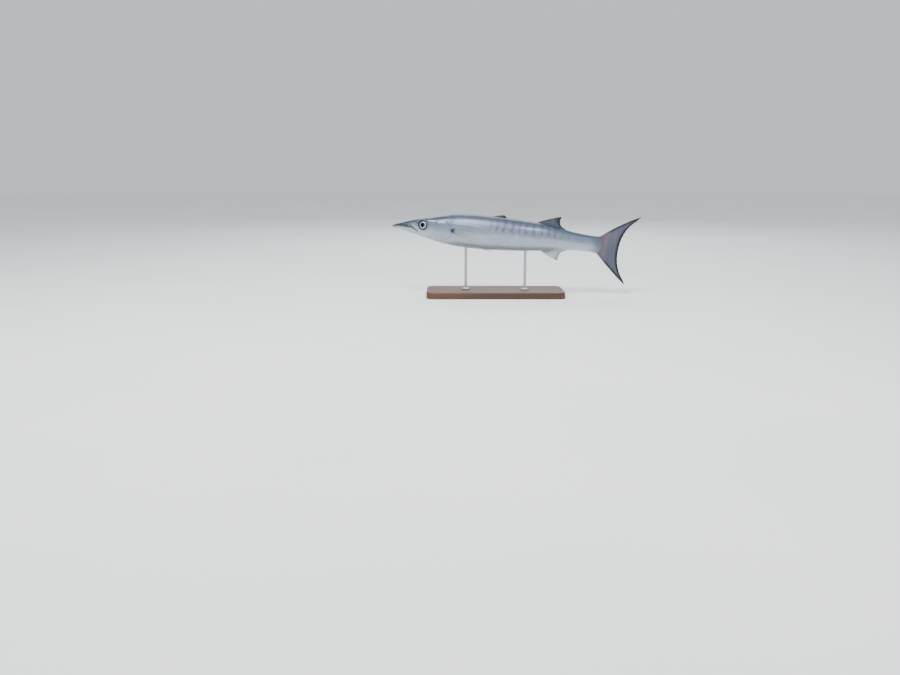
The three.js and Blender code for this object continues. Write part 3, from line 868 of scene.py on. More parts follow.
@dataclass
class Skin:
    """One seamless skin from the jaw tips to the tail's root, with the mouth's slit folded in."""

    inset: float = 0.25
    upper: int = 62
    inside: int = 6
    lower: int = 44
    # Each run of rings has its start, its end and how far apart they are.
    front: tuple[Triple, ...] = ((13.85, 60, 0.75), (60.3, 87, 0.42), (87.3, GILL.rear - 2.2, 0.8))
    rear: tuple[Triple, ...] = ((GILL.rear + 4.5, 178, 1.3), (179.5, STEM_END + 9, 2.6))
    even_by: float = 34.0
    warped: Pair = (62.0, 196.0)
    wall: float = 0.12
    roof: float = 1.1
    folds: tuple[Pair, ...] = (
        (-1.4, 1.0), (-0.4, 0.98), (0.0, 0.72), (-0.3, 0.3), (-1.6, -0.1), (-3.2, -0.45),
        (-3.4, -0.95), (-2.2, -1.1), (0.0, -0.75), (3.0, -0.25),
    )

    def stations(self) -> tuple[Array, Array, Array]:
        """The rings of the skin.

        Returns:
            The place of each ring, its shift along and its lift where it belongs to the gill fold.
        """
        tip = SNOUT_TIP + SHAPE.tip_round * (1 - np.cos(np.linspace(0, np.pi / 2, 18))) * 0.9
        front = np.hstack([tip, *(np.arange(*run) for run in self.front)])
        fold = np.full(len(self.folds), GILL.rear)
        rear = np.hstack([*(np.arange(*run) for run in self.rear), self.rear[-1][1:2]])
        place = np.hstack([front, fold, rear])
        shift = np.hstack([np.zeros(len(front)), [f[0] for f in self.folds], np.zeros(len(rear))])
        lift = np.full(len(place), np.nan)
        lift[len(front) : len(front) + len(self.folds)] = [f[1] for f in self.folds]
        return place, shift, lift

    def angles(self, place: Array) -> tuple[Array, Array, Array]:
        """Angle of every point of the right half, and how deep it lies in the mouth.

        Args:
            place: The place of each ring.

        Returns:
            Angles, depth into the mouth from 0 to 1, and which jaw each point is on (1 or -1).
        """
        at = np.clip(place, SNOUT_TIP + 0.05, MOUTH.corner)
        jut = MOUTH.jut_at(at)
        gap = MOUTH.half_gap(at)
        lip_up = SHAPE.angle_at(at, MOUTH.line(at) + gap)
        lip_low = SHAPE.angle_at(at - jut, MOUTH.line(at - jut) - gap, 0.0)
        blend = smooth(MOUTH.corner, MOUTH.corner + self.even_by, place)[:, None]
        joined = (place > MOUTH.corner)[:, None]
        meet = ((lip_up + lip_low) / 2)[:, None]
        lip_up = np.where(joined, meet, lip_up[:, None])
        lip_low = np.where(joined, meet, lip_low[:, None])
        above = np.linspace(0, 1, self.upper) * lip_up
        inner = np.repeat(lip_up, self.inside, axis=1)
        outer = np.repeat(lip_low, self.inside, axis=1)
        below = lip_low + np.linspace(0, 1, self.lower) * (np.pi - lip_low)
        head = np.hstack([above, inner, outer, below])
        even = np.linspace(0, np.pi, head.shape[1])
        into = np.linspace(0, 1, self.inside + 1)[1:]
        depth = np.hstack([np.zeros(self.upper), into, into[::-1], np.zeros(self.lower)])
        depth = depth * (1 - smooth(MOUTH.corner - 5, MOUTH.corner, place))[:, None]
        jaw = np.where(np.arange(head.shape[1]) < self.upper + self.inside, 1, -1)
        return lerp(head, even, blend), depth, jaw

    def warp(self, place: Array, degrees: Array) -> Array:
        """Shift the rings so that one of them follows the gill cover's edge.

        Args:
            place: The place of each ring, as a column.
            degrees: The angle of each point from the back, in degrees.

        Returns:
            How far each point moves along the spine.
        """
        first, last = self.warped
        ahead = np.clip((place - first) / (GILL.rear - first), 0, 1)
        behind = np.clip((last - place) / (last - GILL.rear), 0, 1)
        return (GILL.edge(degrees) - GILL.rear) * np.minimum(ahead, behind)

    def shape(self) -> tuple[Array, Marks]:
        """Every point of the right half.

        Returns:
            Points (rings, columns, 3) and their markings.
        """
        place, shift, lift = self.stations()
        angle, depth, jaw = self.angles(place)
        degrees = angle / DEGREE
        rings = place[:, None]
        flank = GILL.flank(degrees)
        fold = ~np.isnan(lift)
        calm = np.zeros_like(shift)
        calm[fold] = np.linspace(shift[fold][0], shift[fold][-1], len(self.folds))
        along = rings + self.warp(rings, degrees) + lerp(calm[:, None], shift[:, None], flank)
        along = along - np.where(jaw < 0, MOUTH.jut_at(rings), 0)
        tip = np.where(jaw > 0, SNOUT_TIP, 0.0)
        right, up = SHAPE.section(along, angle, tip)
        out_right, out_up = SHAPE.outward(along, angle, tip)
        spots = Spots(along, up, degrees)
        marks = MARKINGS.total(spots, GIRTH.share(along, angle))
        # The lining inside the slit: dull red, drawn dark as painted shade deep in the mouth.
        marks["mouth"] = smooth(0.02, 0.35, depth)
        marks["tone"] = np.full_like(depth, 0.5)
        head = RELIEF.total(spots)
        trunk = FLANK.relief(along, angle) - 0.2 * flank * (1 - smooth(4, 16, rings - GILL.rear))
        raised = np.where(rings < GILL.rear, head, trunk)
        lip = GILL.lift * np.nan_to_num(lift)[:, None] * flank
        raised = np.where(fold[:, None], lip, raised) - self.inset
        raised = raised * np.clip(SHAPE.rounding(along, tip) * 1.4 - 0.4, 0, 1)
        right = right + out_right * raised
        up = up + out_up * raised
        wall = self.wall * right
        roof = up + jaw * self.roof * np.clip(right / 5, 0.15, 1)
        right = np.clip(lerp(right, wall, depth), 0, None)
        up = lerp(up, roof, np.sin(depth * np.pi / 2))
        along = np.where(depth > 0, lerp(along, np.maximum(along, MOUTH.inside_from), depth), along)
        right[:, 0] = 0
        right[:, -1] = 0
        return stack(along, right, up), marks

    def build(self, finish: Material) -> Piece:
        """Make the skin.

        Args:
            finish: The material of the skin.

        Returns:
            The skin's object.
        """
        half, marks = self.shape()
        mirrored = half[:, -2:0:-1] * [1, -1, 1]
        points = np.hstack([half, mirrored])
        rings, columns = points.shape[:2]
        last = (rings - 1) * columns
        ring = np.arange(columns)
        cap = stack(last + ring, last + (ring + 1) % columns, np.full(columns, rings * columns))
        for mark, values in marks.items():
            both = np.hstack([values, values[:, -2:0:-1]]).ravel()
            marks[mark] = np.append(both, both[-1])
        skin_and_end = np.vstack([points.reshape(-1, 3), points[-1].mean(axis=0)])
        faces = [grid_faces(rings, columns, closed=True)[:, ::-1], cap[:, ::-1]]
        piece = make_piece("skin", finish, skin_and_end, faces, marks)
        across = np.append(np.tile(ring / columns, rings), 0.5)
        unwrap(piece, across, np.append(np.repeat(np.arange(rings) / rings, columns), 1.0))
        close_up(piece)
        log.info("skin: %d rings of %d points", rings, columns)
        return piece


def close_up(piece: Piece, nearer: float = 0.00002) -> None:
    """Join points that lie on one another and turn the faces outward.

    Args:
        piece: The mesh object.
        nearer: Points closer than this, in metres, become one.
    """
    shape = bmesh.new()
    shape.from_mesh(piece.data)
    bmesh.ops.remove_doubles(shape, verts=shape.verts, dist=nearer)
    bmesh.ops.recalc_face_normals(shape, faces=shape.faces)
    shape.to_mesh(piece.data)
    shape.free()


@dataclass
class FinSheet:
    """A fin as one closed thin sheet, with its rays raised in its own surface."""

    root_half: float = 1.0
    tip_half: float = 0.22
    membrane: float = 0.14
    notch: float = 0.45
    per_ray: int = 16
    rows: int = 46
    forks: tuple[float, ...] = (-1.0, 0.4, 0.72)
    fork_soft: float = 0.09
    edge_from: float = 0.84
    edge_dark: float = 0.85
    lead: float = 0.001
    trail: float = 0.001
    clear: float = 0.0
    dark_root: float = 0.0

    def crest(self, share: Array, rays: int, out: Array) -> Array:
        """How strongly a ray is raised at a place of the fin.

        Args:
            share: Place across the fan, 0 at the first ray and 1 at the last.
            rays: The number of rays.
            out: Place along the ray, 0 at the root and 1 at the tip.

        Returns:
            1 on the middle of a ray and 0 between two. Each ray parts in two at every fork.
        """
        beat = share * (rays - 1)
        offset = beat - np.round(beat) + 0.5
        crest = np.zeros(np.broadcast_shapes(np.shape(beat), np.shape(out)))
        for level, start in enumerate(self.forks):
            branches = 2**level
            near = np.abs(np.mod(offset * branches, 1.0) - 0.5)
            strand = hump(near, 0, 0.16 + 0.03 * level) * (1 - 0.12 * level)
            ends = self.forks[level + 1] if level + 1 < len(self.forks) else 2.0
            soft = self.fork_soft
            crest += strand * within((start - soft, start + soft, ends - soft, ends + soft), out)
        return crest

    def marks(self, share: Array, out: Array, crest: Array) -> Marks:
        """The fin's markings: its rays, its dark edges and how clear its skin is.

        Args:
            share: Place across the fan.
            out: Place along the ray.
            crest: How strongly a ray is raised.

        Returns:
            The numbers by name.
        """
        margin = smooth(self.edge_from - 0.1, self.edge_from + 0.08, out)
        lead = self.edge_dark * (1 - smooth(0.3 * self.lead, self.lead, share))
        trail = self.edge_dark * (1 - smooth(0.3 * self.trail, self.trail, 1 - share))
        clear = self.clear * lerp(1, 0.25, smooth(0.1, 0.7, crest)) * smooth(0.1, 0.4, out)
        edge = np.maximum(margin, np.maximum(lead, trail) * smooth(0.1, 0.3, out))
        edge = np.maximum(edge, self.dark_root * (1 - smooth(0.1, 0.24, out)))
        return {"out": out, "ray": 0.6 * smooth(0.25, 0.8, crest), "edge": edge, "clear": clear}

    def build(
        self, name: str, rays: int, fan: Callable[[Array], Rays], outward: Array, finish: Material
    ) -> Piece:
        """Make a fin.

        Args:
            name: The name of the piece.
            rays: The number of its rays.
            fan: Gives root, middle and tip of the ray at a share of the fan.
            outward: Direction square to the fin's sheet.
            finish: Its material.

        Returns:
            The fin's object.
        """
        columns = (rays - 1) * self.per_ray + 1
        share = np.linspace(0, 1, columns)
        root, middle, tip = fan(share)
        between = np.abs(np.sin(np.pi * share * (rays - 1)))
        back_in = middle - tip
        back_in /= np.linalg.norm(back_in, axis=1, keepdims=True)
        tip = tip + back_in * (self.notch * between**1.5)[:, None]
        shares, out = np.meshgrid(share, np.linspace(0, 1, self.rows), indexing="ij")
        t = out[..., None]
        line = root[:, None] * (1 - t) ** 2 + middle[:, None] * 2 * t * (1 - t) + tip[:, None] * t**2
        crest = self.crest(share[:, None], rays, out)
        ray_half = lerp(self.root_half, self.tip_half, np.sqrt(out))
        sheet_half = lerp(self.root_half * 0.5, self.membrane, np.sqrt(np.sqrt(out)))
        joints = 1 + 0.1 * np.cos(out * self.rows * 1.4) * smooth(0.25, 0.5, out)
        half = lerp(sheet_half, ray_half, crest * joints)
        edge = np.minimum(smooth(0, 0.012, share), smooth(0, 0.012, 1 - share))[:, None]
        half = half * (0.35 + 0.65 * edge) * (0.3 + 0.7 * smooth(0, 0.03, 1 - out))
        # Each column of points runs out on one side of the sheet and back on the other.
        off = outward * half[..., None]
        points = np.hstack([line + off, (line - off)[:, ::-1]])
        ring = 2 * self.rows
        row = np.arange(self.rows - 1)
        rim = stack(row, row + 1, ring - 2 - row, ring - 1 - row)
        faces = [grid_faces(columns, ring, closed=True), rim, rim + (columns - 1) * ring]
        one_side = self.marks(shares, out, crest)
        marks = {mark: np.hstack([side, side[:, ::-1]]) for mark, side in one_side.items()}
        piece = make_piece(name, finish, points.reshape(-1, 3), faces, marks)
        across = np.hstack([shares / 2, shares[:, ::-1] / 2 + 0.5])
        unwrap(piece, across.ravel(), marks["out"].ravel())
        close_up(piece, nearer=0.000001)
        log.info("%s: %d rays", name, rays)
        return piece


@dataclass(frozen=True)
class MiddleFin:
    """A fin on the back or the belly, its rays swept back and shorter to the rear."""

    name: str
    start: float
    end: float
    rays: int
    longest: float
    shortest: float
    first_rise: float
    last_rise: float
    sharpness: float = 1.7
    root_half: float = 1.3
    up: int = 1

    def fan(self, share: Array) -> Rays:
        """Root, middle and tip of the ray at each share of the fan.

        Args:
            share: Shares of the fan, 0 at its first ray and 1 at its last.

        Returns:
            The roots, middles and tips.
        """
        at = lerp(self.start, self.end, share)
        edge = SHAPE.top(at) if self.up > 0 else SHAPE.bottom(at)
        long = lerp(self.shortest, self.longest, (1 - share) ** self.sharpness)
        rise = lerp(self.first_rise, self.last_rise, share) * DEGREE
        flat = np.zeros_like(at)
        root = stack(at, flat, edge - self.up * 3)
        reach = stack(np.cos(rise), flat, self.up * np.sin(rise)) * (long + 3)[:, None]
        middle = root + reach * 0.5
        middle[:, 2] += self.up * long * 0.05
        return root, middle, root + reach


MIDDLE_FINS = (
    MiddleFin(
        "first_dorsal_fin", start=211, end=243, rays=5, longest=33, shortest=12,
        first_rise=12, last_rise=3, sharpness=1.0, root_half=1.0,
    ),
    MiddleFin(
        "second_dorsal_fin", start=311, end=371, rays=11, longest=59, shortest=10,
        first_rise=19, last_rise=10,
    ),
    MiddleFin(
        "anal_fin", start=328, end=380, rays=10, longest=46, shortest=9, first_rise=25, last_rise=12, up=-1
    ),
)


@dataclass(frozen=True)
class TailFin:
    """The forked tail as one sheet: its rays fan from the stem's end to the margin."""

    rays: int = 17
    fork_back: float = 39.0
    tip_back: float = 71.0
    tip_out: float = 77.0
    blunt: float = 2.8
    bow: float = 4.0
    root_out: float = 17.4
    root_sunk: float = 9.0

    def fan(self, share: Array) -> Rays:
        """Root, middle and tip of the ray at each share, from the upper edge to the lower one.

        Args:
            share: Shares of the fan, 0 at its first ray and 1 at its last.

        Returns:
            The roots, middles and tips.
        """
        flat = np.zeros_like(share)
        side = np.where(share < 0.5, 1.0, -1.0)
        lobe = 1 - np.abs(2 * share - 1)
        root_out = self.root_out * (1 - lobe)
        out = self.tip_out * (1 - lobe**0.92)
        margin = lerp(self.fork_back, self.tip_back, (out / self.tip_out) ** 2.2)
        margin += self.blunt * hump(out / self.tip_out, 0.88, 0.16)
        tip = stack(STEM_END + margin, flat, side * out)
        root = stack(STEM_END - self.root_sunk + 5 * lobe, flat, side * root_out)
        middle = lerp(root, tip, 0.55)
        bow = self.bow * (1 - lobe) ** 1.5
        return root, middle + stack(-bow * 0.5, flat, side * bow), tip


@dataclass(frozen=True)
class PectoralFin:
    """A fin behind the gill cover, half folded against the flank."""

    name: str
    side: Side
    at: float = 141.0
    up: float = -1.5
    base: float = 9.0
    rays: int = 13
    longest: float = 44.0
    shortest: float = 12.0
    flare: float = 12.0
    dark_root: float = 0.75

    def fan(self, share: Array) -> Rays:
        """Root, middle and tip of the ray at each share of the fan, from the upper edge.

        Args:
            share: Shares of the fan, 0 at its first ray and 1 at its last.

        Returns:
            The roots, middles and tips.
        """
        side = self.side.value
        height = self.up + self.base * (0.5 - share)
        start = self.at + 2.5 * share
        bow = np.cos((share - 0.15) * 1.7) ** 1.2
        long = lerp(self.shortest, self.longest, bow)
        fall = lerp(2, 20, share) * DEGREE
        out = lerp(self.flare, self.flare + 5, share) * DEGREE
        angle = SHAPE.angle_at(start, height)
        skin = SHAPE.section(start, angle)[0]
        root = stack(start - 3, side * (skin - 1.4), height)
        heading = [np.cos(fall) * np.cos(out), side * np.sin(out), -np.sin(fall) * np.cos(out)]
        tip = root + stack(*heading) * (long + 3)[:, None]
        middle = lerp(root, tip, 0.5)
        middle[:, 1] += side * 1.2
        return root, middle, tip

    def outward(self) -> Array:
        """Direction square to the fin."""
        lean = self.flare * DEGREE
        return np.array([-math.sin(lean), self.side.value * math.cos(lean), 0])


@dataclass(frozen=True)
class PelvicFin:
    """A fin on the belly, trailing back, down and a little out."""

    name: str
    side: Side
    at: float = 197.0
    out: float = 6.0
    base: float = 7.0
    rays: int = 6
    longest: float = 33.0
    shortest: float = 15.0
    flare: float = 9.0
    drop: float = 15.0
    lean: float = 38.0
    dark_root: float = 0.0

    def fan(self, share: Array) -> Rays:
        """Root, middle and tip of the ray at each share of the fan, from the outer edge.

        Args:
            share: Shares of the fan, 0 at its first ray and 1 at its last.

        Returns:
            The roots, middles and tips.
        """
        side = self.side.value
        start = self.at + 3 * share
        angle = np.pi - np.arcsin((self.out + self.base * (1 - share)) / SHAPE.half(self.at))
        right, up = SHAPE.section(start, angle)
        long = lerp(self.shortest, self.longest, (1 - share) ** 1.3)
        spread = lerp(self.flare, -4, share) * DEGREE
        down = self.drop * DEGREE
        root = stack(start - 2, side * right, up + 2.4)
        sink = np.full_like(spread, -math.sin(down))
        heading = [math.cos(down) * np.cos(spread), side * np.sin(spread), sink]
        tip = root + stack(*heading) * (long + 4)[:, None]
        middle = lerp(root, tip, 0.5)
        middle[:, 2] -= 1.2
        return root, middle, tip

    def outward(self) -> Array:
        """Direction square to the fin."""
        lean = self.lean * DEGREE
        return np.array([0, self.side.value * math.sin(lean), -math.cos(lean)])


def to_linear(colour: str) -> tuple[float, float, float, float]:
    """Turn an sRGB hex colour to Blender's linear colour.

    Args:
        colour: The colour, such as #8090a0.

    Returns:
        Red, green, blue and full opacity.
    """
    parts = [int(colour[i : i + 2], 16) / 255 for i in (1, 3, 5)]
    linear = [c / 12.92 if c <= 0.04045 else ((c + 0.055) / 1.055) ** 2.4 for c in parts]
    return (*linear, 1.0)


def add_node(
    tree: bpy.types.NodeTree,
    kind: str,
    links: dict[str | int, object] | None = None,
    ramp: Ramp = (),
    out: str | int = 0,
    **settings: object,
) -> Socket | None:
    """Add a node to a material.

    Args:
        tree: The material's node tree.
        kind: The node's type, without the word ShaderNode before it.
        links: What each input gets: another node's output, or a value.
        ramp: For a colour ramp, its stops as place and sRGB hex colour.
        out: Which of its outputs is wanted.
        settings: Any other property of the node.

    Returns:
        The wanted output, where the node has any.
    """
    node = tree.nodes.new("ShaderNode" + kind)
    for name, value in settings.items():
        setattr(node, name, value)
    for name, value in (links or {}).items():
        if isinstance(value, Socket):
            tree.links.new(value, node.inputs[name])
        else:
            node.inputs[name].default_value = value
    for i, (place, colour) in enumerate(ramp):
        stops = node.color_ramp.elements
        stop = stops[i] if i < len(stops) else stops.new(place)
        stop.position = place
        stop.color = to_linear(colour)
    return node.outputs[out] if node.outputs else None


@dataclass(frozen=True)
class Finish:
    """A material of this model. Each finish says how its own surface is made."""

    name: str

    def surface(self, add: Adder) -> Socket:
        """The shader of the finish."""
        raise NotImplementedError

    def build(self) -> Material:
        """Make the material.

        Returns:
            The finished material.
        """
        material = bpy.data.materials.new(self.name)
        material.use_nodes = True
        tree = material.node_tree
        tree.nodes.clear()
        add = partial(add_node, tree)
        add("OutputMaterial", {"Surface": self.surface(add)})
        return material


@dataclass(frozen=True)
class SilverSkin(Finish):
    """Wet fish skin under clear slime: steel blue above, silver below, with dusky bars.

    The silver is a thin layer of guanine plates, so it shines like a soft metal under a clear coat.
    Skin and scales share this finish, and the numbers kept on their points say where each mark lies, painted
    shade in the slits, folds and pits among them.
    """

    name: str = "wet_silver_skin"
    back_to_belly: Ramp = (
        (0.0, "#141c29"), (0.09, "#222d40"), (0.2, "#3a4861"), (0.33, "#5b6982"),
        (0.46, "#7f8da1"), (0.66, "#a0abb7"), (0.86, "#bac2c9"), (1.0, "#c6ccd0"),
    )
    head_tones: Ramp = (
        (0.0, "#121a27"), (0.16, "#1d293c"), (0.28, "#35445c"), (0.4, "#64748a"),
        (0.56, "#8a97a6"), (0.8, "#a6b0ba"), (1.0, "#a0aab3"),
    )
    tints: Ramp = (
        (0.35, "#8c9bb2"), (0.45, "#a199b8"), (0.55, "#a8adb2"), (0.65, "#93aba8"),
    )
    marks: tuple[str, ...] = ("share", "dark", "bars", "spot", "head", "stem", "silver", "mouth", "tone")

    def surface(self, add: Adder) -> Socket:
        """Lay the markings one over the other on the ground colour.

        Args:
            add: Adds a node to the material.

        Returns:
            The shader.
        """
        at = {mark: add("Attribute", out="Fac", attribute_name=mark) for mark in self.marks}
        spots = add("TexCoord", out="Object")
        # Clouds of pigment about 12 mm across break the even bands.
        cloud = add("TexNoise", {"Vector": spots, "Scale": 80.0, "Detail": 3.0})
        band = add("Math", {0: cloud, 1: 0.08, 2: at["share"]}, operation="MULTIPLY_ADD")
        body = add("ValToRGB", {"Fac": band}, ramp=self.back_to_belly)
        head = add("ValToRGB", {"Fac": band}, ramp=self.head_tones)
        # Lavender and sea-green tints drift over the silver in patches about 40 mm across.
        drift = add("TexNoise", {"Vector": spots, "Scale": 24.0, "Detail": 1.0})
        tint = add("ValToRGB", {"Fac": drift}, ramp=self.tints)
        sheen = add("Math", {0: at["silver"], 1: 0.38}, operation="MULTIPLY")
        # The dark layer is partly pigment and partly painted shade in the slits, folds, pits and the gill
        # cover's gap; the mouth layer is a dull red lining darkened with painted shade.
        layers = (
            (at["head"], head),
            (at["bars"], to_linear("#27324a")),
            (sheen, tint),
            (at["spot"], to_linear("#151b26")),
            (at["stem"], to_linear("#545a66")),
            (at["dark"], to_linear("#10161f")),
            (at["mouth"], to_linear("#4a3236")),
        )
        colour = body
        for share, over in layers:
            colour = add("Mix", {0: share, 6: colour, 7: over}, out=2, data_type="RGBA")
        # No two scales are quite as light as each other.
        light = add("Math", {0: at["tone"], 1: 0.16, 2: 0.92}, operation="MULTIPLY_ADD")
        grey = add("CombineXYZ", {i: light for i in range(3)})
        both = {0: 1.0, 6: colour, 7: grey}
        shaded = add("Mix", both, out=2, data_type="RGBA", blend_type="MULTIPLY")
        # Fine grain about 0.8 mm across is the broken gleam of the silver layer.
        grain = add("TexNoise", {"Vector": spots, "Scale": 1200.0, "Detail": 2.0})
        return add("BsdfPrincipled", {
            "Base Color": shaded,
            "Metallic": at["silver"],
            "Roughness": add("Math", {0: grain, 1: 0.16, 2: 0.22}, operation="MULTIPLY_ADD"),
            "IOR": 1.4,
            "Coat Weight": 0.22,
            "Coat Roughness": 0.14,
            "Normal": add("Bump", {"Height": grain, "Strength": 0.12, "Distance": 0.0002}),
        })


@dataclass(frozen=True)
class ScaleRoots:
    """Where scales are rooted, how large each is, and whether it belongs to the head."""

    at: Array
    down: Array
    row: Array
    size: Array
    on_head: Array

    def pick(self, keep: Array) -> "ScaleRoots":
        """Only some of the scales, with each number as a column."""
        return ScaleRoots(*(getattr(self, part.name)[keep][:, None] for part in fields(self)))


@dataclass
class ScaleCoat:
    """Small cycloid scales in rows from the lateral line, each one a thin closed tile."""

    side: Side
    seed: int = 5
    first: float = 79.0
    last: float = STEM_END + 3
    proud: float = 0.3
    thick: float = 0.16
    sunk: float = 0.22
    small: float = 0.78
    long_by: float = 1.75
    wide_by: float = 1.28
    twist: float = 0.035
    rows: tuple[int, int] = (-28, 42)
    middle: int = 99
    middle_size: float = 1.12
    middle_late: float = 7.0
    outline: int = 9
    crown_at: float = 0.48
    crown_size: float = 0.82
    crown_angle: float = 50.0
    throat_angle: float = 152.0
    map_patch: float = 0.003
    map_long: float = 480.0
    period: Through = Through([77, 100, 120, 150, 230, 380, 460], [1.5, 1.8, 2.2, 2.7, 2.9, 2.6, 1.8])
    row: Through = Through([77, 100, 120, 150, 230, 330, 400, 460], [1.6, 2.0, 2.6, 3.1, 3.3, 3.0, 2.5, 1.9])

    def roots(self) -> ScaleRoots:
        """Where the scales sit.

        Returns:
            The roots of all scales of this side.
        """
        walk = [self.first]
        while walk[-1] < self.last:
            walk.append(walk[-1] + float(self.period(walk[-1])) / 2)
        halves = np.array(walk)
        spots = []
        for number in range(*self.rows):
            at = halves[abs(number) % 2 :: 2]
            spots.append(stack(at, number * self.row(at), np.full_like(at, number)))
        if self.side is Side.RIGHT:
            spots += [self.middle_row(halves[::2], share) for share in (0.0, 1.0)]
        at, down, number = np.vstack(spots).T
        share = self.share_at(at, down)
        in_middle = number == self.middle
        margin = 0.45 * self.row(at) / GIRTH.half(at)
        keep = ((share > margin) & (share < 1 - margin)) | in_middle
        angle = GIRTH.angle(at, share)
        up = SHAPE.section(at, angle)[1]
        angle = angle / DEGREE
        edge = GILL.edge(angle)
        dice = np.random.default_rng(self.seed)
        rear_end = STEM_END + 2.5 + 2 * np.abs(2 * share - 1) + dice.uniform(-1.8, 1.8, len(at))
        inside = self.inside_head(at, up, angle)
        cheek = (at < edge - 4.6) & (inside > 0) & ~in_middle
        on_flank = smooth(50, 75, angle)
        start = edge + dice.uniform(-3, 3, len(at)) * (1 - on_flank)
        trunk = (at > start - 1.2 + self.middle_late * in_middle) & (at < rear_end)
        nape = smooth(0, 14, at - start + 20 * on_flank)
        root = 1 - 0.3 * smooth(-12, 0, at - rear_end)
        size = np.where(cheek, lerp(self.small, 1, smooth(0, 6, inside)), lerp(self.small, 1, nape) * root)
        size = np.where(in_middle, size * self.middle_size, size)
        keep &= cheek | trunk
        return ScaleRoots(at[keep], down[keep], number[keep], size[keep], cheek[keep])

    def middle_row(self, at: Array, share: float) -> Array:
        """The roots of a row that lies over the middle of the back (share 0) or the belly (share 1)."""
        down = (share - self.share_at(at, 0)) * GIRTH.half(at)
        return stack(at, down, np.full_like(at, self.middle))

    def inside_head(self, at: Array, up: Array, angle: Array) -> Array:
        """How far a place lies inside the scaled parts of the cheek and gill cover, in millimetres.

        Args:
            at: Places along the spine.
            up: Heights over the spine.
            angle: Angles from the back, in degrees.

        Returns:
            Millimetres, below 0 outside them.
        """
        from_eye = np.hypot(at - EYE.at, up - EYE.up) - EYE.socket - 5
        from_front = at - 91 - 0.3 * up
        from_crown = (angle - self.crown_angle - 4 * np.sin(at * 0.13)) * 0.4
        from_throat = (self.throat_angle - angle) * 0.4
        plate = RELIEF.cheek_edge(up)
        off_band = np.where((at < plate - 6) | (at > plate + 1.4), 9, -1)
        return np.minimum.reduce([from_eye, from_front, from_crown, from_throat, off_band])

    def share_at(self, at: Array, down: Reals) -> Array:
        """Share of the half outline at a distance below the lateral line."""
        return GIRTH.share(at, FLANK.line(at) * np.pi) + down / GIRTH.half(at)

    def tile(self) -> tuple[Array, Array, Array, list[Array]]:
        """One scale.

        Returns:
            Its points as (back, down) in shares, their height on the crown (-1 on the underside), how
            near they are to its edge, and its faces.
        """
        turn = np.linspace(-0.5, 0.5, self.outline) * np.pi
        rear = stack(0.62 + 0.38 * np.cos(turn), 0.5 * np.sin(turn))
        front = np.array([[0.0, 0.42], [-0.04, 0.0], [0.0, -0.42]])
        rim = np.vstack([rear, front])
        inner = [self.crown_at, 0] + (rim - [self.crown_at, 0]) * self.crown_size
        count = len(rim)
        flat = np.vstack([rim, inner, [[self.crown_at, 0]], rim])
        parts = [count, count, 1, count]
        crown = np.repeat([0.25, 0.85, 1.0, -1.0], parts)
        edge = np.repeat([1.0, 0.2, 0.0, 1.0], parts)
        ring = np.arange(count)
        ahead = (ring + 1) % count
        low = 2 * count + 1
        slope = stack(ring, ahead, ahead + count, ring + count)
        top = stack(ring + count, ahead + count, np.full(count, 2 * count))
        wall = stack(ahead, ring, ring + low, ahead + low)
        return flat, crown, edge, [np.vstack([slope, wall]), top, ring[None, ::-1] + low]

    def build(self, name: str, start: float, end: float, finish: Material) -> Piece:
        """Make the scales of one stretch of one side.

        Args:
            name: The name of the piece.
            start: Where the stretch begins.
            end: Where it ends.
            finish: The material of the scales.

        Returns:
            The joined scales as one object.
        """
        every = self.roots()
        roots = every.pick((every.at >= start) & (every.at < end))
        at, down, size = roots.at, roots.down, roots.size
        count = len(at)
        dice = np.random.default_rng(self.seed + int(start) + (self.side is Side.LEFT))
        flat, crown, edge, faces = self.tile()
        tone = dice.uniform(0, 1, (count, 1))
        long = self.long_by * self.period(at) * dice.uniform(0.95, 1.05, (count, 1)) * size
        wide = self.wide_by * self.row(at) * dice.uniform(0.97, 1.03, (count, 1)) * size
        twist = dice.normal(0, self.twist, (count, 1))
        back = flat[:, 0] * long
        across = flat[:, 1] * wide
        place = at + back - twist * across
        share = self.share_at(*np.broadcast_arrays(at, down, place)[:2])
        share = share + (across + twist * back) / GIRTH.half(place)
        share = np.where(roots.row == self.middle, share, np.clip(share, 0.0005, 0.9995))
        rising = np.clip(flat[:, 0], 0, 1)
        tilt = self.proud * size * rising - self.sunk * (1 - rising) ** 2
        tilt = tilt - 1.6 * np.maximum(1 - size, 0) + 0.3 * np.maximum(size - 1, 0)
        level = np.where(crown >= 0, 0.55 + 0.45 * crown, -0.2)
        body = self.thick * level * (0.6 + 0.4 * np.clip(wide / 3, 0, 1))
        points, marks = self.lay(roots.on_head, place, share, tilt + body - 0.05)
        # Painted shade darkens each scale's rim and underside, where it lies over the next.
        marks["dark"] = np.clip(marks["dark"] + 0.15 * edge, 0, 1)
        marks["tone"] = np.broadcast_to(tone, place.shape)
        root = np.hstack([share[:, :1], at])
        piece = self.make(name, finish, points, faces, marks, flat, root)
        log.info("%s: %d scales, %d faces", name, count, len(piece.data.polygons))
        return piece

    def lay(self, on_head: Array, place: Array, share: Array, height: Array) -> tuple[Array, Marks]:
        """Lay points on the skin.

        Args:
            on_head: Whether each scale belongs to the head, as a column.
            place: Where each point lies along the spine, one row a scale.
            share: Its share of the half outline.
            height: How far it stands off the skin.

        Returns:
            The points of this side of the fish, and their markings.
        """
        own = np.abs(share)
        own = np.where(own > 1, 2 - own, own)
        angle = GIRTH.angle(place, own)
        degrees = angle / DEGREE
        angle = np.where(share > 1, 2 * np.pi - angle, np.sign(share) * angle)
        right, up = SHAPE.section(place, angle)
        out_right, out_up = SHAPE.outward(place, angle)
        spots = Spots(place, up, degrees)
        relief = np.where(on_head, RELIEF.cheek(spots), FLANK.relief(place, degrees * DEGREE))
        off = relief - Skin.inset + height
        marks = MARKINGS.total(spots, own)
        marks["mouth"] = np.zeros_like(place)
        side = self.side.value
        return stack(place, (right + out_right * off) * side, up + out_up * off), marks

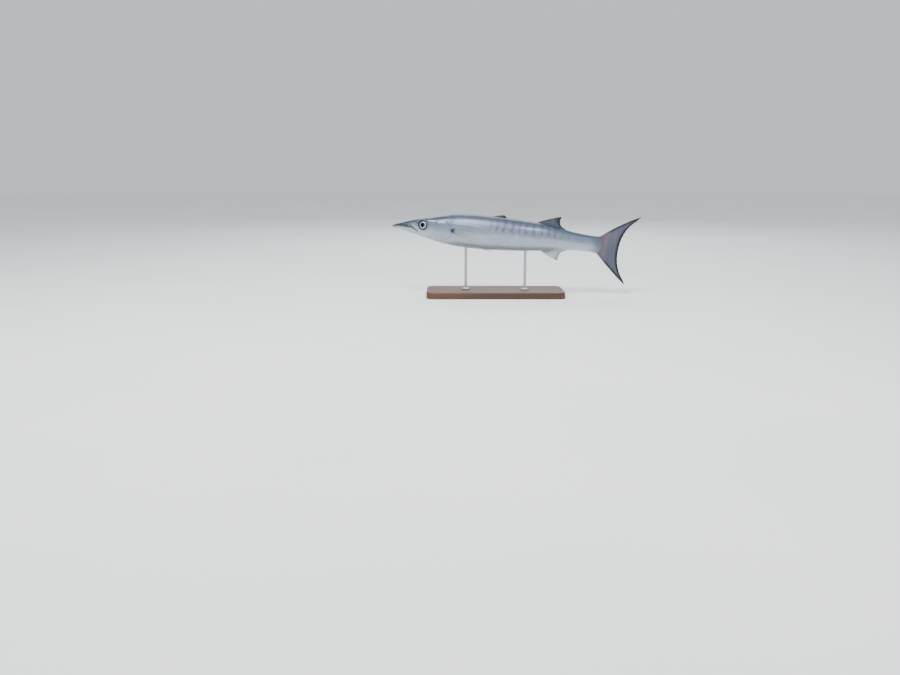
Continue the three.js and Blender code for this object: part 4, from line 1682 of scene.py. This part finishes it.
    def make(
        self, name: str, finish: Material, points: Array, faces: Sequence[Array], marks: Marks,
        flat: Array, root: Array,
    ) -> Piece:
        """Join alike tiles to one piece, each with a small patch of the bake map at its root's place.

        Args:
            name: The name of the piece.
            finish: Its material.
            points: The points of every tile, (tiles, points, 3).
            faces: The faces of one tile, facing outward on the right side of the fish.
            marks: The markings of every point.
            flat: The points of one tile in shares of its size, (back, down).
            root: The share of the half outline and the place of every root, (tiles, 2).

        Returns:
            The new object.
        """
        on_right = self.side is Side.RIGHT
        faces = repeat_faces([f if on_right else f[:, ::-1] for f in faces], *points.shape[:2])
        piece = make_piece(name, finish, points.reshape(-1, 3), faces, marks)
        across = root[:, :1] * 0.46
        u = (0.02 + across if on_right else 0.98 - across) + flat[:, 1] * self.map_patch
        v = root[:, 1:] / self.map_long + flat[:, 0] * self.map_patch
        unwrap(piece, np.clip(u, 0, 1).ravel(), np.clip(v, 0, 1).ravel())
        return piece


@dataclass
class LateralLine:
    """The small tubes of the lateral line, a raised one on each scale of its row."""

    side: Side
    wide: float = 0.8
    high: float = 0.3
    around: int = 8
    rings: int = 6

    def build(self, finish: Material) -> Piece:
        """Make all tubes of one side.

        Args:
            finish: The material of the scales.

        Returns:
            The joined tubes as one object.
        """
        coat = ScaleCoat(self.side)
        every = coat.roots()
        roots = every.pick((every.row == 0) & (every.at > GILL.rear + 2))
        at, size = roots.at, roots.size
        t = np.repeat(np.linspace(0, 1, self.rings), self.around)
        turn = np.tile(circle(self.around), self.rings)
        swell = 0.25 + 0.75 * np.sin(np.pi * (0.12 + 0.76 * t)) ** 0.7
        flat = stack(0.5 + 1.05 * t, 0.5 * swell * np.cos(turn))
        place = at + flat[:, 0] * coat.period(at) * size
        line = coat.share_at(place, 0)
        share = line + flat[:, 1] * self.wide * size / GIRTH.half(place)
        height = coat.proud * (0.35 + 0.4 * t) + self.high * swell * np.sin(turn) * size
        points, marks = coat.lay(roots.on_head, place, share, height)
        marks["tone"] = np.full_like(place, 0.7)
        # Painted shade in the open rear end of each tube.
        marks["dark"] = np.clip(marks["dark"] + 0.5 * smooth(0.85, 1, t), 0, 1)
        root = np.hstack([line[:, :1], at])
        name = f"lateral_line_{self.side.name.lower()}"
        piece = coat.make(name, finish, points, tube_faces(self.rings, self.around), marks, flat, root)
        close_up(piece, nearer=0.000001)
        log.info("%s: %d tubes", piece.name, len(at))
        return piece


@dataclass(frozen=True)
class FinSkin(Finish):
    """Thin fin skin stretched over bony rays: light comes through it, and the rays show as lines."""

    root: str
    middle: str
    edge: str
    ray: str
    clear: bool = False

    def surface(self, add: Adder) -> Socket:
        """Colour the skin from its root outward, then its rays and its edge.

        Args:
            add: Adds a node to the material.

        Returns:
            The shader.
        """
        marks = ("out", "ray", "edge", "clear")
        at = {mark: add("Attribute", out="Fac", attribute_name=mark) for mark in marks}
        # Blotches about 6 mm across keep the skin from looking dyed.
        cloud = add("TexNoise", {"Vector": add("TexCoord", out="Object"), "Scale": 160.0, "Detail": 4.0})
        out = add("Math", {0: cloud, 1: 0.16, 2: at["out"]}, operation="MULTIPLY_ADD")
        colour = add("ValToRGB", {"Fac": out}, ramp=((0.16, self.root), (0.6, self.middle)))
        for mark, over in (("ray", self.ray), ("edge", self.edge)):
            layer = {0: at[mark], 6: colour, 7: to_linear(over)}
            colour = add("Mix", layer, out=2, data_type="RGBA")
        skin = add("BsdfPrincipled", {
            "Base Color": colour,
            "Roughness": 0.38,
            "IOR": 1.4,
            "Coat Weight": 0.25,
            "Coat Roughness": 0.15,
            "Normal": add("Bump", {"Height": cloud, "Strength": 0.15, "Distance": 0.0004}),
        })
        through = add("BsdfTranslucent", {"Color": colour})
        sheet = add("MixShader", {0: 0.3, 1: skin, 2: through})
        if self.clear:
            glass = add("BsdfTransparent")
            sheet = add("MixShader", {0: at["clear"], 1: sheet, 2: glass})
        return sheet


@dataclass(frozen=True)
class IrisFinish(Finish):
    """Silver iris leaf with a black pupil, matt under the wet dome that lies over it."""

    name: str = "silver_iris"
    rings: Ramp = (
        (0.0, "#020304"), (0.555, "#020304"), (0.575, "#cfc5a2"), (0.62, "#b4baba"),
        (0.74, "#98a2aa"), (0.84, "#66717d"), (0.92, "#2a323e"), (1.0, "#141a23"),
    )
    marks: tuple[str, ...] = ("far", "across", "upright", "lid", "leaf")

    def surface(self, add: Adder) -> Socket:
        """Ring the pupil with silver fibres, and darken their upper part with the brow's painted shade.

        Args:
            add: Adds a node to the material.

        Returns:
            The shader.
        """
        at = {mark: add("Attribute", out="Fac", attribute_name=mark) for mark in self.marks}
        # Fibres run out from the pupil, about 0.5 mm apart: the pattern turns with the angle alone.
        turn = add("CombineXYZ", {0: at["across"], 1: at["upright"], 2: at["far"]})
        fibre = add("TexNoise", {"Vector": turn, "Scale": 9.0, "Detail": 3.0})
        ring = add("Math", {0: fibre, 1: 0.09, 2: at["far"]}, operation="MULTIPLY_ADD")
        silver = add("ValToRGB", {"Fac": ring}, ramp=self.rings)
        # Painted shade from the brow darkens the upper iris.
        layer = {0: at["lid"], 6: silver, 7: to_linear("#232c3a")}
        ridge = add("Math", {0: fibre, 1: at["leaf"]}, operation="MULTIPLY")
        return add("BsdfPrincipled", {
            "Base Color": add("Mix", layer, out=2, data_type="RGBA"),
            "Metallic": at["leaf"],
            "Roughness": 0.42,
            "Specular IOR Level": 0.0,
            "Normal": add("Bump", {"Height": ridge, "Strength": 0.4, "Distance": 0.0004}),
        })


@dataclass(frozen=True)
class ClearDome(Finish):
    """The wet, clear dome of the eye: mirror-bright where the lamps catch it, else unseen."""

    name: str = "clear_cornea"

    def surface(self, add: Adder) -> Socket:
        """Mix a gloss over clear, more of it towards the dome's rim.

        Args:
            add: Adds a node to the material.

        Returns:
            The shader.
        """
        # Half the gleam of water, since a look through the dome meets both of its faces.
        edge = add("Fresnel", {"IOR": 1.22})
        gloss = add("BsdfGlossy", {"Roughness": 0.03})
        return add("MixShader", {0: edge, 1: add("BsdfTransparent"), 2: gloss})


@dataclass(frozen=True)
class Ivory(Finish):
    """Tooth enamel over dentine: pale, slightly yellow at the root and glossy."""

    name: str = "tooth_enamel"

    def surface(self, add: Adder) -> Socket:
        """Whiten the tooth from its root to its point.

        Args:
            add: Adds a node to the material.

        Returns:
            The shader.
        """
        out = add("Attribute", out="Fac", attribute_name="out")
        colour = add("ValToRGB", {"Fac": out}, ramp=((0.0, "#c8c2ae"), (1.0, "#efece4")))
        return add("BsdfPrincipled", {"Base Color": colour, "Roughness": 0.22, "Coat Weight": 0.3})


@dataclass(frozen=True)
class OiledWalnut(Finish):
    """Planed and oiled walnut: dark bands of growth and fine open pores along the board."""

    name: str = "oiled_walnut"
    tones: Ramp = (
        (0.0, "#341f12"), (0.35, "#452a19"), (0.7, "#583721"), (1.0, "#684428"),
    )

    def surface(self, add: Adder) -> Socket:
        """Draw the growth bands and the pores.

        Args:
            add: Adds a node to the material.

        Returns:
            The shader.
        """
        spots = add("TexCoord", out="Object")
        # Growth bands about 6 mm apart, drawn out along the board.
        drawn = add("Mapping", {"Vector": spots, "Scale": (1.3, 14.0, 14.0)})
        warp = add("TexNoise", {"Vector": drawn, "Scale": 3.0, "Detail": 3.0})
        grain = {"Vector": drawn, "Scale": 0.9, "Distortion": 7.0, "Detail": 4.0, "Detail Scale": 1.2}
        bands = add("TexWave", grain, out="Fac", bands_direction="Y")
        both = add("Math", {0: warp, 1: bands})
        level = add("Math", {0: both, 1: 0.5}, operation="MULTIPLY")
        wood = add("ValToRGB", {"Fac": level}, ramp=self.tones)
        # Pores a quarter of a millimetre wide and many times as long, coarser than real so that they show.
        stretch = add("Mapping", {"Vector": spots, "Scale": (60.0, 1400.0, 1400.0)})
        pores = add("TexNoise", {"Vector": stretch, "Scale": 1.0, "Detail": 2.0})
        step = {"Value": pores, "From Min": 0.32, "From Max": 0.42, "To Min": 0.45, "To Max": 0.0}
        layer = {0: add("MapRange", step), 6: wood, 7: to_linear("#1d120b")}
        return add("BsdfPrincipled", {
            "Base Color": add("Mix", layer, out=2, data_type="RGBA"),
            "Roughness": 0.5,
            "Coat Weight": 0.08,
            "Coat Roughness": 0.35,
            "Normal": add("Bump", {"Height": pores, "Strength": 0.12, "Distance": 0.0002}),
        })


@dataclass(frozen=True)
class BrushedSteel(Finish):
    """Drawn stainless rod, brushed round: a soft metal gleam with fine lines across it."""

    name: str = "brushed_stainless"

    def surface(self, add: Adder) -> Socket:
        """Brush the metal round the rod.

        Args:
            add: Adds a node to the material.

        Returns:
            The shader.
        """
        # Brush lines a third of a millimetre apart, as coarse as they need to be to show.
        lines = add("Mapping", {"Vector": add("TexCoord", out="Object"), "Scale": (60.0, 60.0, 3600.0)})
        grain = add("TexNoise", {"Vector": lines, "Scale": 1.0, "Detail": 3.0})
        tones = ((0.3, "#a4a7ab"), (0.7, "#b8bbbf"))
        return add("BsdfPrincipled", {
            "Base Color": add("ValToRGB", {"Fac": grain}, ramp=tones),
            "Metallic": 1.0,
            "Roughness": add("Math", {0: grain, 1: 0.12, 2: 0.24}, operation="MULTIPLY_ADD"),
            "Normal": add("Bump", {"Height": grain, "Strength": 0.1, "Distance": 0.0001}),
        })


def turned(profile: Sequence[Pair], around: int) -> tuple[Array, Array]:
    """A turned form about the upright axis.

    Args:
        profile: Radius and height, from the axis at one end to the axis at the other.
        around: The number of points round it.

    Returns:
        Points (n, 3) as (x, y, z) and faces (m, 4).
    """
    angle = circle(around)
    radius, height = np.array(profile, float).T
    x = radius[:, None] * np.cos(angle)
    y = radius[:, None] * np.sin(angle)
    z = np.repeat(height[:, None], around, axis=1)
    return stack(x, y, z).reshape(-1, 3), grid_faces(len(profile), around, closed=True)


@dataclass
class EyeBall:
    """One eye: a silver iris with its pupil under a clear dome."""

    side: Side
    iris_radius: float = 9.8
    iris_high: float = 3.0
    pupil: float = 5.0
    pupil_high: float = 0.35
    pear: float = 0.93
    leaf_edge: Pair = (0.51, 0.58)
    brow_shade: Pair = (0.1, 0.75)
    back: tuple[Pair, ...] = ((iris_radius, -0.6), (6.0, -2.6), (0.0, -3.2))
    dome_radius: float = 10.1
    dome_high: float = 3.75
    dome_thick: float = 0.2
    fullness: float = 3.2
    around: int = 72
    steps: int = 24
    map_span: float = 30.0

    def axes(self) -> tuple[Array, Array]:
        """Where the eye sits and which way its own axes point.

        Returns:
            The centre, and the axes towards the tail, up and outward as rows.
        """
        side = self.side.value
        a = side * EYE.upward * DEGREE
        b = side * EYE.forward * DEGREE
        tilt = np.array([[1, 0, 0], [0, math.cos(a), -math.sin(a)], [0, math.sin(a), math.cos(a)]])
        swing = np.array([[math.cos(b), -math.sin(b), 0], [math.sin(b), math.cos(b), 0], [0, 0, 1]])
        basis = (swing @ tilt @ np.array([[1, 0, 0], [0, 0, side], [0, 1, 0]])).T
        out = side * (SHAPE.side_at(EYE.at, EYE.up) - EYE.sunk)
        return np.array([EYE.at, out, EYE.up]), basis

    def form(self, name: str, profile: Sequence[Pair], finish: Material) -> Piece:
        """Make one turned piece of the eye.

        Args:
            name: The name of the piece.
            profile: Radius and height over the eye's middle plane.
            finish: Its material.

        Returns:
            The new object.
        """
        points, faces = turned(profile, self.around)
        centre, basis = self.axes()
        x, y = points[:, 0], points[:, 1]
        radius = np.maximum(np.hypot(x, y), 1e-6)
        # The pupil is drawn out a little to the front, like a pear.
        far = np.hypot(x * np.where(x < 0, 1.0, self.pear), y) / self.iris_radius
        marks = {
            "far": far,
            "across": x / radius,
            "upright": y / radius,
            # Painted shade from the brow over the upper iris.
            "lid": 0.6 * smooth(*self.brow_shade, y / self.iris_radius),
            "leaf": 0.65 * smooth(*self.leaf_edge, far),
        }
        piece = make_piece(name, finish, centre + points @ basis, [faces], marks)
        unwrap(piece, 0.5 + x / self.map_span, 0.5 + y / self.map_span)
        close_up(piece)
        return piece

    def build(self, iris: Material, dome: Material) -> list[Piece]:
        """Make the eye.

        Args:
            iris: The iris and pupil's material.
            dome: The clear dome's material.

        Returns:
            The pieces of the eye.
        """
        label = self.side.name.lower()
        reach = np.sin(np.linspace(0, np.pi / 2, self.steps))
        crown = 1 - reach**self.fullness
        lens = self.pupil_high * (1 - smooth(self.pupil - 0.3, self.pupil + 0.3, reach * self.iris_radius))
        front = list(zip(reach * self.iris_radius, crown * self.iris_high + lens))
        ball = self.form(f"eye_{label}_iris", front + list(self.back), iris)
        shell = list(zip(reach * self.dome_radius, crown * self.dome_high))
        thin = self.dome_thick
        inner = list(zip(reach * (self.dome_radius - thin), crown * (self.dome_high - thin)))
        cover = self.form(f"eye_{label}_dome", shell + inner[::-1], dome)
        log.info("eye %s: iris and dome", label)
        return [ball, cover]


@dataclass
class Teeth:
    """Small pointed teeth along both jaws, with a pair of larger ones at the lower jaw's tip."""

    first: float = 9.0
    last: float = 50.0
    apart: float = 2.6
    high: float = 1.5
    wide: float = 1.1
    lowest: float = 0.35
    clear_by: float = 0.3
    astray: float = 0.3
    inward: float = 1.3
    least_out: float = 0.9
    lean: float = 0.35
    flat: float = 0.7
    point: float = 0.04
    fang_at: float = 11.2
    fang: float = 1.6
    rings: tuple[float, ...] = (-0.5, 0.0, 0.35, 0.7, 0.93)
    seed: int = 11
    around: int = 8

    def build(self, jaw: int, finish: Material) -> Piece:
        """Make the teeth of one jaw.

        Args:
            jaw: 1 for the upper jaw and -1 for the lower.
            finish: The teeth's material.

        Returns:
            All teeth of the jaw as one object.
        """
        dice = np.random.default_rng(self.seed + jaw)
        teeth = []
        for at in np.arange(self.first + (0.5 + 0.5 * jaw) * self.apart / 2, self.last, self.apart):
            gap = 2 * float(MOUTH.half_gap(at))
            high = min(self.high, gap - self.clear_by) * dice.uniform(0.75, 1.0)
            for side in Side:
                place = at + dice.uniform(-self.astray, self.astray)
                teeth.append(self.tooth(place, side, jaw, (max(high, self.lowest), self.wide)))
        if jaw < 0:
            teeth += [self.tooth(self.fang_at, side, jaw, (self.fang, self.fang)) for side in Side]
        rings, count = len(self.rings), len(teeth)
        out = np.tile(np.repeat(np.maximum(self.rings, 0), self.around), count)
        faces = repeat_faces(tube_faces(rings, self.around), count, rings * self.around)
        name = "teeth_upper" if jaw > 0 else "teeth_lower"
        piece = make_piece(name, finish, np.concatenate(teeth), faces, {"out": out})
        unwrap(piece, np.tile(np.arange(self.around) / self.around, count * rings), out)
        close_up(piece)
        log.info("%s: %d teeth", name, count)
        return piece

    def tooth(self, at: float, side: Side, jaw: int, size: Pair) -> Array:
        """One tooth, its root sunk in the jaw and its point leaning to the throat.

        Args:
            at: Its place along the jaw.
            side: The side of the mouth.
            jaw: 1 for the upper jaw and -1 for the lower.
            size: Its height and its width.

        Returns:
            Its points, (n, 3).
        """
        high, wide = size
        out = max(self.least_out, SHAPE.side_at(at, float(MOUTH.line(at))) - self.inward)
        edge = float(MOUTH.line(at) + jaw * (MOUTH.half_gap(at) + 0.1))
        turn = circle(self.around)
        shares = np.array(self.rings)[:, None]
        free = np.maximum(shares, 0)
        radius = wide / 2 * (1 - free) ** 0.8 + self.point
        x = at + self.lean * high * free**1.5 + radius * np.cos(turn)
        y = side.value * (out + radius * self.flat * np.sin(turn))
        z = np.broadcast_to(edge - jaw * high * shares, x.shape)
        return stack(x, y, z).reshape(-1, 3)


@dataclass
class DisplayStand:
    """A walnut board with a softened edge and two steel rods on small feet."""

    edge: float = 2.2
    corner: float = 14.0
    rod: float = 3.0
    foot: float = 9.0
    foot_high: float = 3.0
    fillet: float = 2.5
    around: int = 160
    map_size: Pair = (620.0, 310.0)
    rod_map: float = 200.0

    def board(self, finish: Material) -> Piece:
        """Make the board.

        Args:
            finish: The wood.

        Returns:
            The board's object, in the place of its CAD node.
        """
        low, high = (np.array(corner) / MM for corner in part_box("stand_base"))
        middle = (low + high) / 2
        half = (high - low) / 2
        turn = np.linspace(0, np.pi / 2, 8)
        rounded = [(self.edge * (1 - math.cos(t)), half[2] * 2 - self.edge * (1 - math.sin(t))) for t in turn]
        inset, height = np.array([(0.8, 0.0), (0.2, 0.25), (0.0, 0.8)] + rounded).T[..., None]
        angle = circle(self.around)
        radius = np.maximum(self.corner - inset, 1.0)
        x = middle[0] + np.sign(np.cos(angle)) * (half[0] - self.corner) + radius * np.cos(angle)
        y = middle[1] + np.sign(np.sin(angle)) * (half[1] - self.corner) + radius * np.sin(angle)
        points = stack(x, y, np.broadcast_to(height, x.shape)).reshape(-1, 3)
        faces = tube_faces(len(inset), self.around)
        piece = make_piece("stand_board", finish, points, faces, {}, bent=False)
        piece.data.set_sharp_from_angle(angle=CRISP)
        over = points[:, 2] > half[2]
        x, y = points[:, 0] / self.map_size[0], points[:, 1] / self.map_size[1]
        unwrap(piece, x + 0.25 + over * 0.45, y + 0.5)
        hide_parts("stand_base")
        log.info("stand board: %.0f by %.0f mm", half[0] * 2, half[1] * 2)
        return piece

    def upright(self, node: str, finish: Material) -> Piece:
        """Make one rod with its foot.

        Args:
            node: The CAD rod it replaces.
            finish: The steel.

        Returns:
            The rod's object.
        """
        low, high = (np.array(corner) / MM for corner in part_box(node))
        x, y = (low[:2] + high[:2]) / 2
        base, end = low[2], high[2] - 0.2
        top = base + self.foot_high
        foot = [(0.0, base), (self.foot - 0.3, base), (self.foot, base + 0.3), (self.foot, top - 0.9)]
        foot += [(self.foot - 0.25, top - 0.3), (self.foot - 0.9, top)]
        for t in np.linspace(0, np.pi / 2, 7):
            foot.append((self.rod + self.fillet * (1 - math.sin(t)), top + self.fillet * (1 - math.cos(t))))
        points, faces = turned([*foot, (self.rod, end), (0.0, end)], 48)
        name = node.replace("stand_rod", "stand_steel")
        piece = make_piece(name, finish, points + [x, y, 0], [faces], {}, bent=False)
        piece.data.set_sharp_from_angle(angle=CRISP)
        angle = np.arctan2(points[:, 1], points[:, 0]) / (2 * np.pi) + 0.5
        unwrap(piece, angle, points[:, 2] / self.rod_map)
        close_up(piece)
        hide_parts(node)
        log.info("%s: %.0f mm high", name, end - base)
        return piece


@dataclass(frozen=True)
class PaleFloor(Finish):
    """Matt pale paint on a smooth studio floor."""

    name: str = "pale_floor_paint"

    def surface(self, add: Adder) -> Socket:
        """Roll the paint on with faint clouds in it.

        Args:
            add: Adds a node to the material.

        Returns:
            The shader.
        """
        # The roller leaves faint clouds about 0.3 m across.
        cloud = add("TexNoise", {"Vector": add("TexCoord", out="Object"), "Scale": 3.0, "Detail": 2.0})
        colour = add("ValToRGB", {"Fac": cloud}, ramp=((0.3, "#e9ebec"), (0.7, "#eff0f1")))
        return add("BsdfPrincipled", {"Base Color": colour, "Roughness": 0.8})


@dataclass
class Studio:
    """The pale floor, the soft lamps and the camera at the photograph's angle."""

    camera_place: Triple = (-0.099, -1.805, 0.2725)
    pitch: float = 11.5
    focal: float = 33.0
    sensor: float = 36.0
    floor_radius: float = 9000.0
    aim: Triple = (0.04, 0.0, 0.12)
    lamps: tuple[tuple[str, Triple, float, float], ...] = (
        ("key_lamp", (-0.6, -1.0, 1.7), 0.8, 46),
        ("spark_lamp", (0.45, -1.4, 1.5), 0.25, 14),
        ("back_lamp", (0.2, 1.6, 1.6), 1.2, 24),
    )
    sky: Ramp = (
        (0.0, "#dcdfe2"), (0.12, "#dcdfe2"), (0.5, "#dfe3e6"), (1.0, "#eef2f5"),
    )

    def floor(self) -> Piece:
        """Lay a wide pale floor under the stand.

        Returns:
            The floor's object.
        """
        angle = circle(96)
        points = stack(np.cos(angle), np.sin(angle), np.zeros_like(angle)) * self.floor_radius
        whole = [np.arange(len(points))[None]]
        piece = make_piece("floor", PaleFloor().build(), points, whole, {}, bent=False)
        return piece

    def lamp(self, name: str, place: Sequence[float], size: float, watts: float) -> None:
        """Hang one soft square lamp that points at the fish.

        Args:
            name: The lamp's name.
            place: Where it hangs, in metres.
            size: The side of its panel, in metres.
            watts: Its power.
        """
        light = bpy.data.lights.new(name, "AREA")
        light.shape = "SQUARE"
        light.size = size
        light.energy = watts
        holder = add_object(name, light)
        holder.location = place
        holder.rotation_euler = (Vector(self.aim) - Vector(place)).to_track_quat("-Z", "Y").to_euler()

    def air(self) -> None:
        """Light the studio evenly from all round, brightest from above."""
        world = bpy.data.worlds.new("studio_air")
        world.use_nodes = True
        tree = world.node_tree
        height = add_node(tree, "SeparateXYZ", {0: add_node(tree, "TexCoord", out="Generated")}, out="Z")
        shade = add_node(tree, "ValToRGB", {"Fac": height}, ramp=self.sky)
        tree.links.new(shade, tree.nodes["Background"].inputs["Color"])
        bpy.context.scene.world = world

    def camera(self) -> None:
        """Set the camera up as the photograph was taken."""
        lens = bpy.data.cameras.new("camera")
        lens.lens = self.focal
        lens.sensor_width = self.sensor
        lens.clip_start = 0.05
        camera = add_object("camera", lens)
        camera.location = self.camera_place
        camera.rotation_euler = (math.radians(90 - self.pitch), 0, 0)
        bpy.context.scene.camera = camera

    def build(self) -> None:
        """Set the whole studio up."""
        self.floor()
        for name, place, size, watts in self.lamps:
            self.lamp(name, place, size, watts)
        self.air()
        self.camera()
        log.info("studio: floor, %d lamps and camera", len(self.lamps))


@dataclass
class Barracuda:
    """The whole fish: skin, scales, fins, eyes and teeth."""

    stretches: tuple[tuple[str, float, float], ...] = (
        ("front", 70.0, 218.0),
        ("middle", 218.0, 320.0),
        ("rear", 320.0, 480.0),
    )

    def flesh(self) -> None:
        """Make the skin with its coat of scales."""
        silver = SilverSkin().build()
        skin = Skin().build(silver)
        flesh = ("head", "lower_jaw", "torso_front", "torso_middle", "torso_rear", "tail_stem")
        self.dress(skin, "skin", *flesh)
        for side in Side:
            scales = ScaleCoat(side)
            for name, start, end in self.stretches:
                piece = scales.build(f"scales_{side.name.lower()}_{name}", start, end, silver)
                self.dress(piece, "skin")
            self.dress(LateralLine(side).build(silver), "skin")

    def fins(self) -> None:
        """Make every fin."""
        dusky = FinSkin("dusky_tail_fin", "#83797b", "#5e6275", "#0d1219", "#333d4d").build()
        dark = FinSkin("dusky_back_fin", "#56616f", "#475262", "#1c232e", "#2c3643").build()
        pale = FinSkin("pale_fin", "#9ca5ab", "#b4baba", "#65707a", "#8e979c", clear=True).build()
        square = np.array([0.0, 1.0, 0.0])
        for fin in MIDDLE_FINS:
            on_back = fin.up > 0
            sheet = FinSheet(root_half=fin.root_half, lead=0.12 if on_back else 0.001, clear=0.5)
            piece = sheet.build(f"{fin.name}_rays", fin.rays, fin.fan, square, dark if on_back else pale)
            self.dress(piece, "dark_fin" if on_back else "pale_fin", fin.name)
        tail = TailFin()
        sheet = FinSheet(
            root_half=2.5, tip_half=0.24, notch=0.6, rows=96, per_ray=24, forks=(-1.0, 0.3, 0.55, 0.78),
            edge_from=0.87, lead=0.11, trail=0.11,
        )
        piece = sheet.build("tail_fin_rays", tail.rays, tail.fan, square, dusky)
        self.dress(piece, "dark_fin", "tail_fin_upper", "tail_fin_lower")
        for side in Side:
            label = side.name.lower()
            for fin in (PectoralFin(f"pectoral_fin_{label}", side), PelvicFin(f"pelvic_fin_{label}", side)):
                sheet = FinSheet(edge_from=1.1, clear=0.82, dark_root=fin.dark_root)
                piece = sheet.build(f"{fin.name}_rays", fin.rays, fin.fan, fin.outward(), pale)
                self.dress(piece, "pale_fin", fin.name)

    def eyes_and_teeth(self) -> None:
        """Make the eyes and the teeth."""
        iris = IrisFinish().build()
        dome = ClearDome().build()
        for side in Side:
            ball, cover = EyeBall(side).build(iris, dome)
            self.dress(ball, "eye", f"eye_{side.name.lower()}")
            self.dress(cover, "eye")
        enamel = Ivory().build()
        for jaw in (1, -1):
            self.dress(Teeth().build(jaw, enamel), "skin")

    @staticmethod
    def dress(piece: Piece, slot: str, *nodes: str) -> None:
        """Fix a piece to the fish.

        Args:
            piece: The piece.
            slot: The material slot of the part that it shows; not used.
            nodes: The nodes of the part that it replaces.
        """
        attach(piece, BODY)
        if nodes:
            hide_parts(*nodes)


def main() -> None:
    """Build the fish, the stand and the studio in order, and log the board's size and the rods' heights."""
    logging.basicConfig(level=logging.INFO, format="%(name)s: %(message)s")
    fish = Barracuda()
    fish.flesh()
    fish.fins()
    fish.eyes_and_teeth()
    stand = DisplayStand()
    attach(stand.board(OiledWalnut().build()), BODY)
    steel = BrushedSteel().build()
    for node in ("stand_rod_front", "stand_rod_rear"):
        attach(stand.upright(node, steel), BODY)
    Studio().build()


if __name__ == "__main__":
    main()
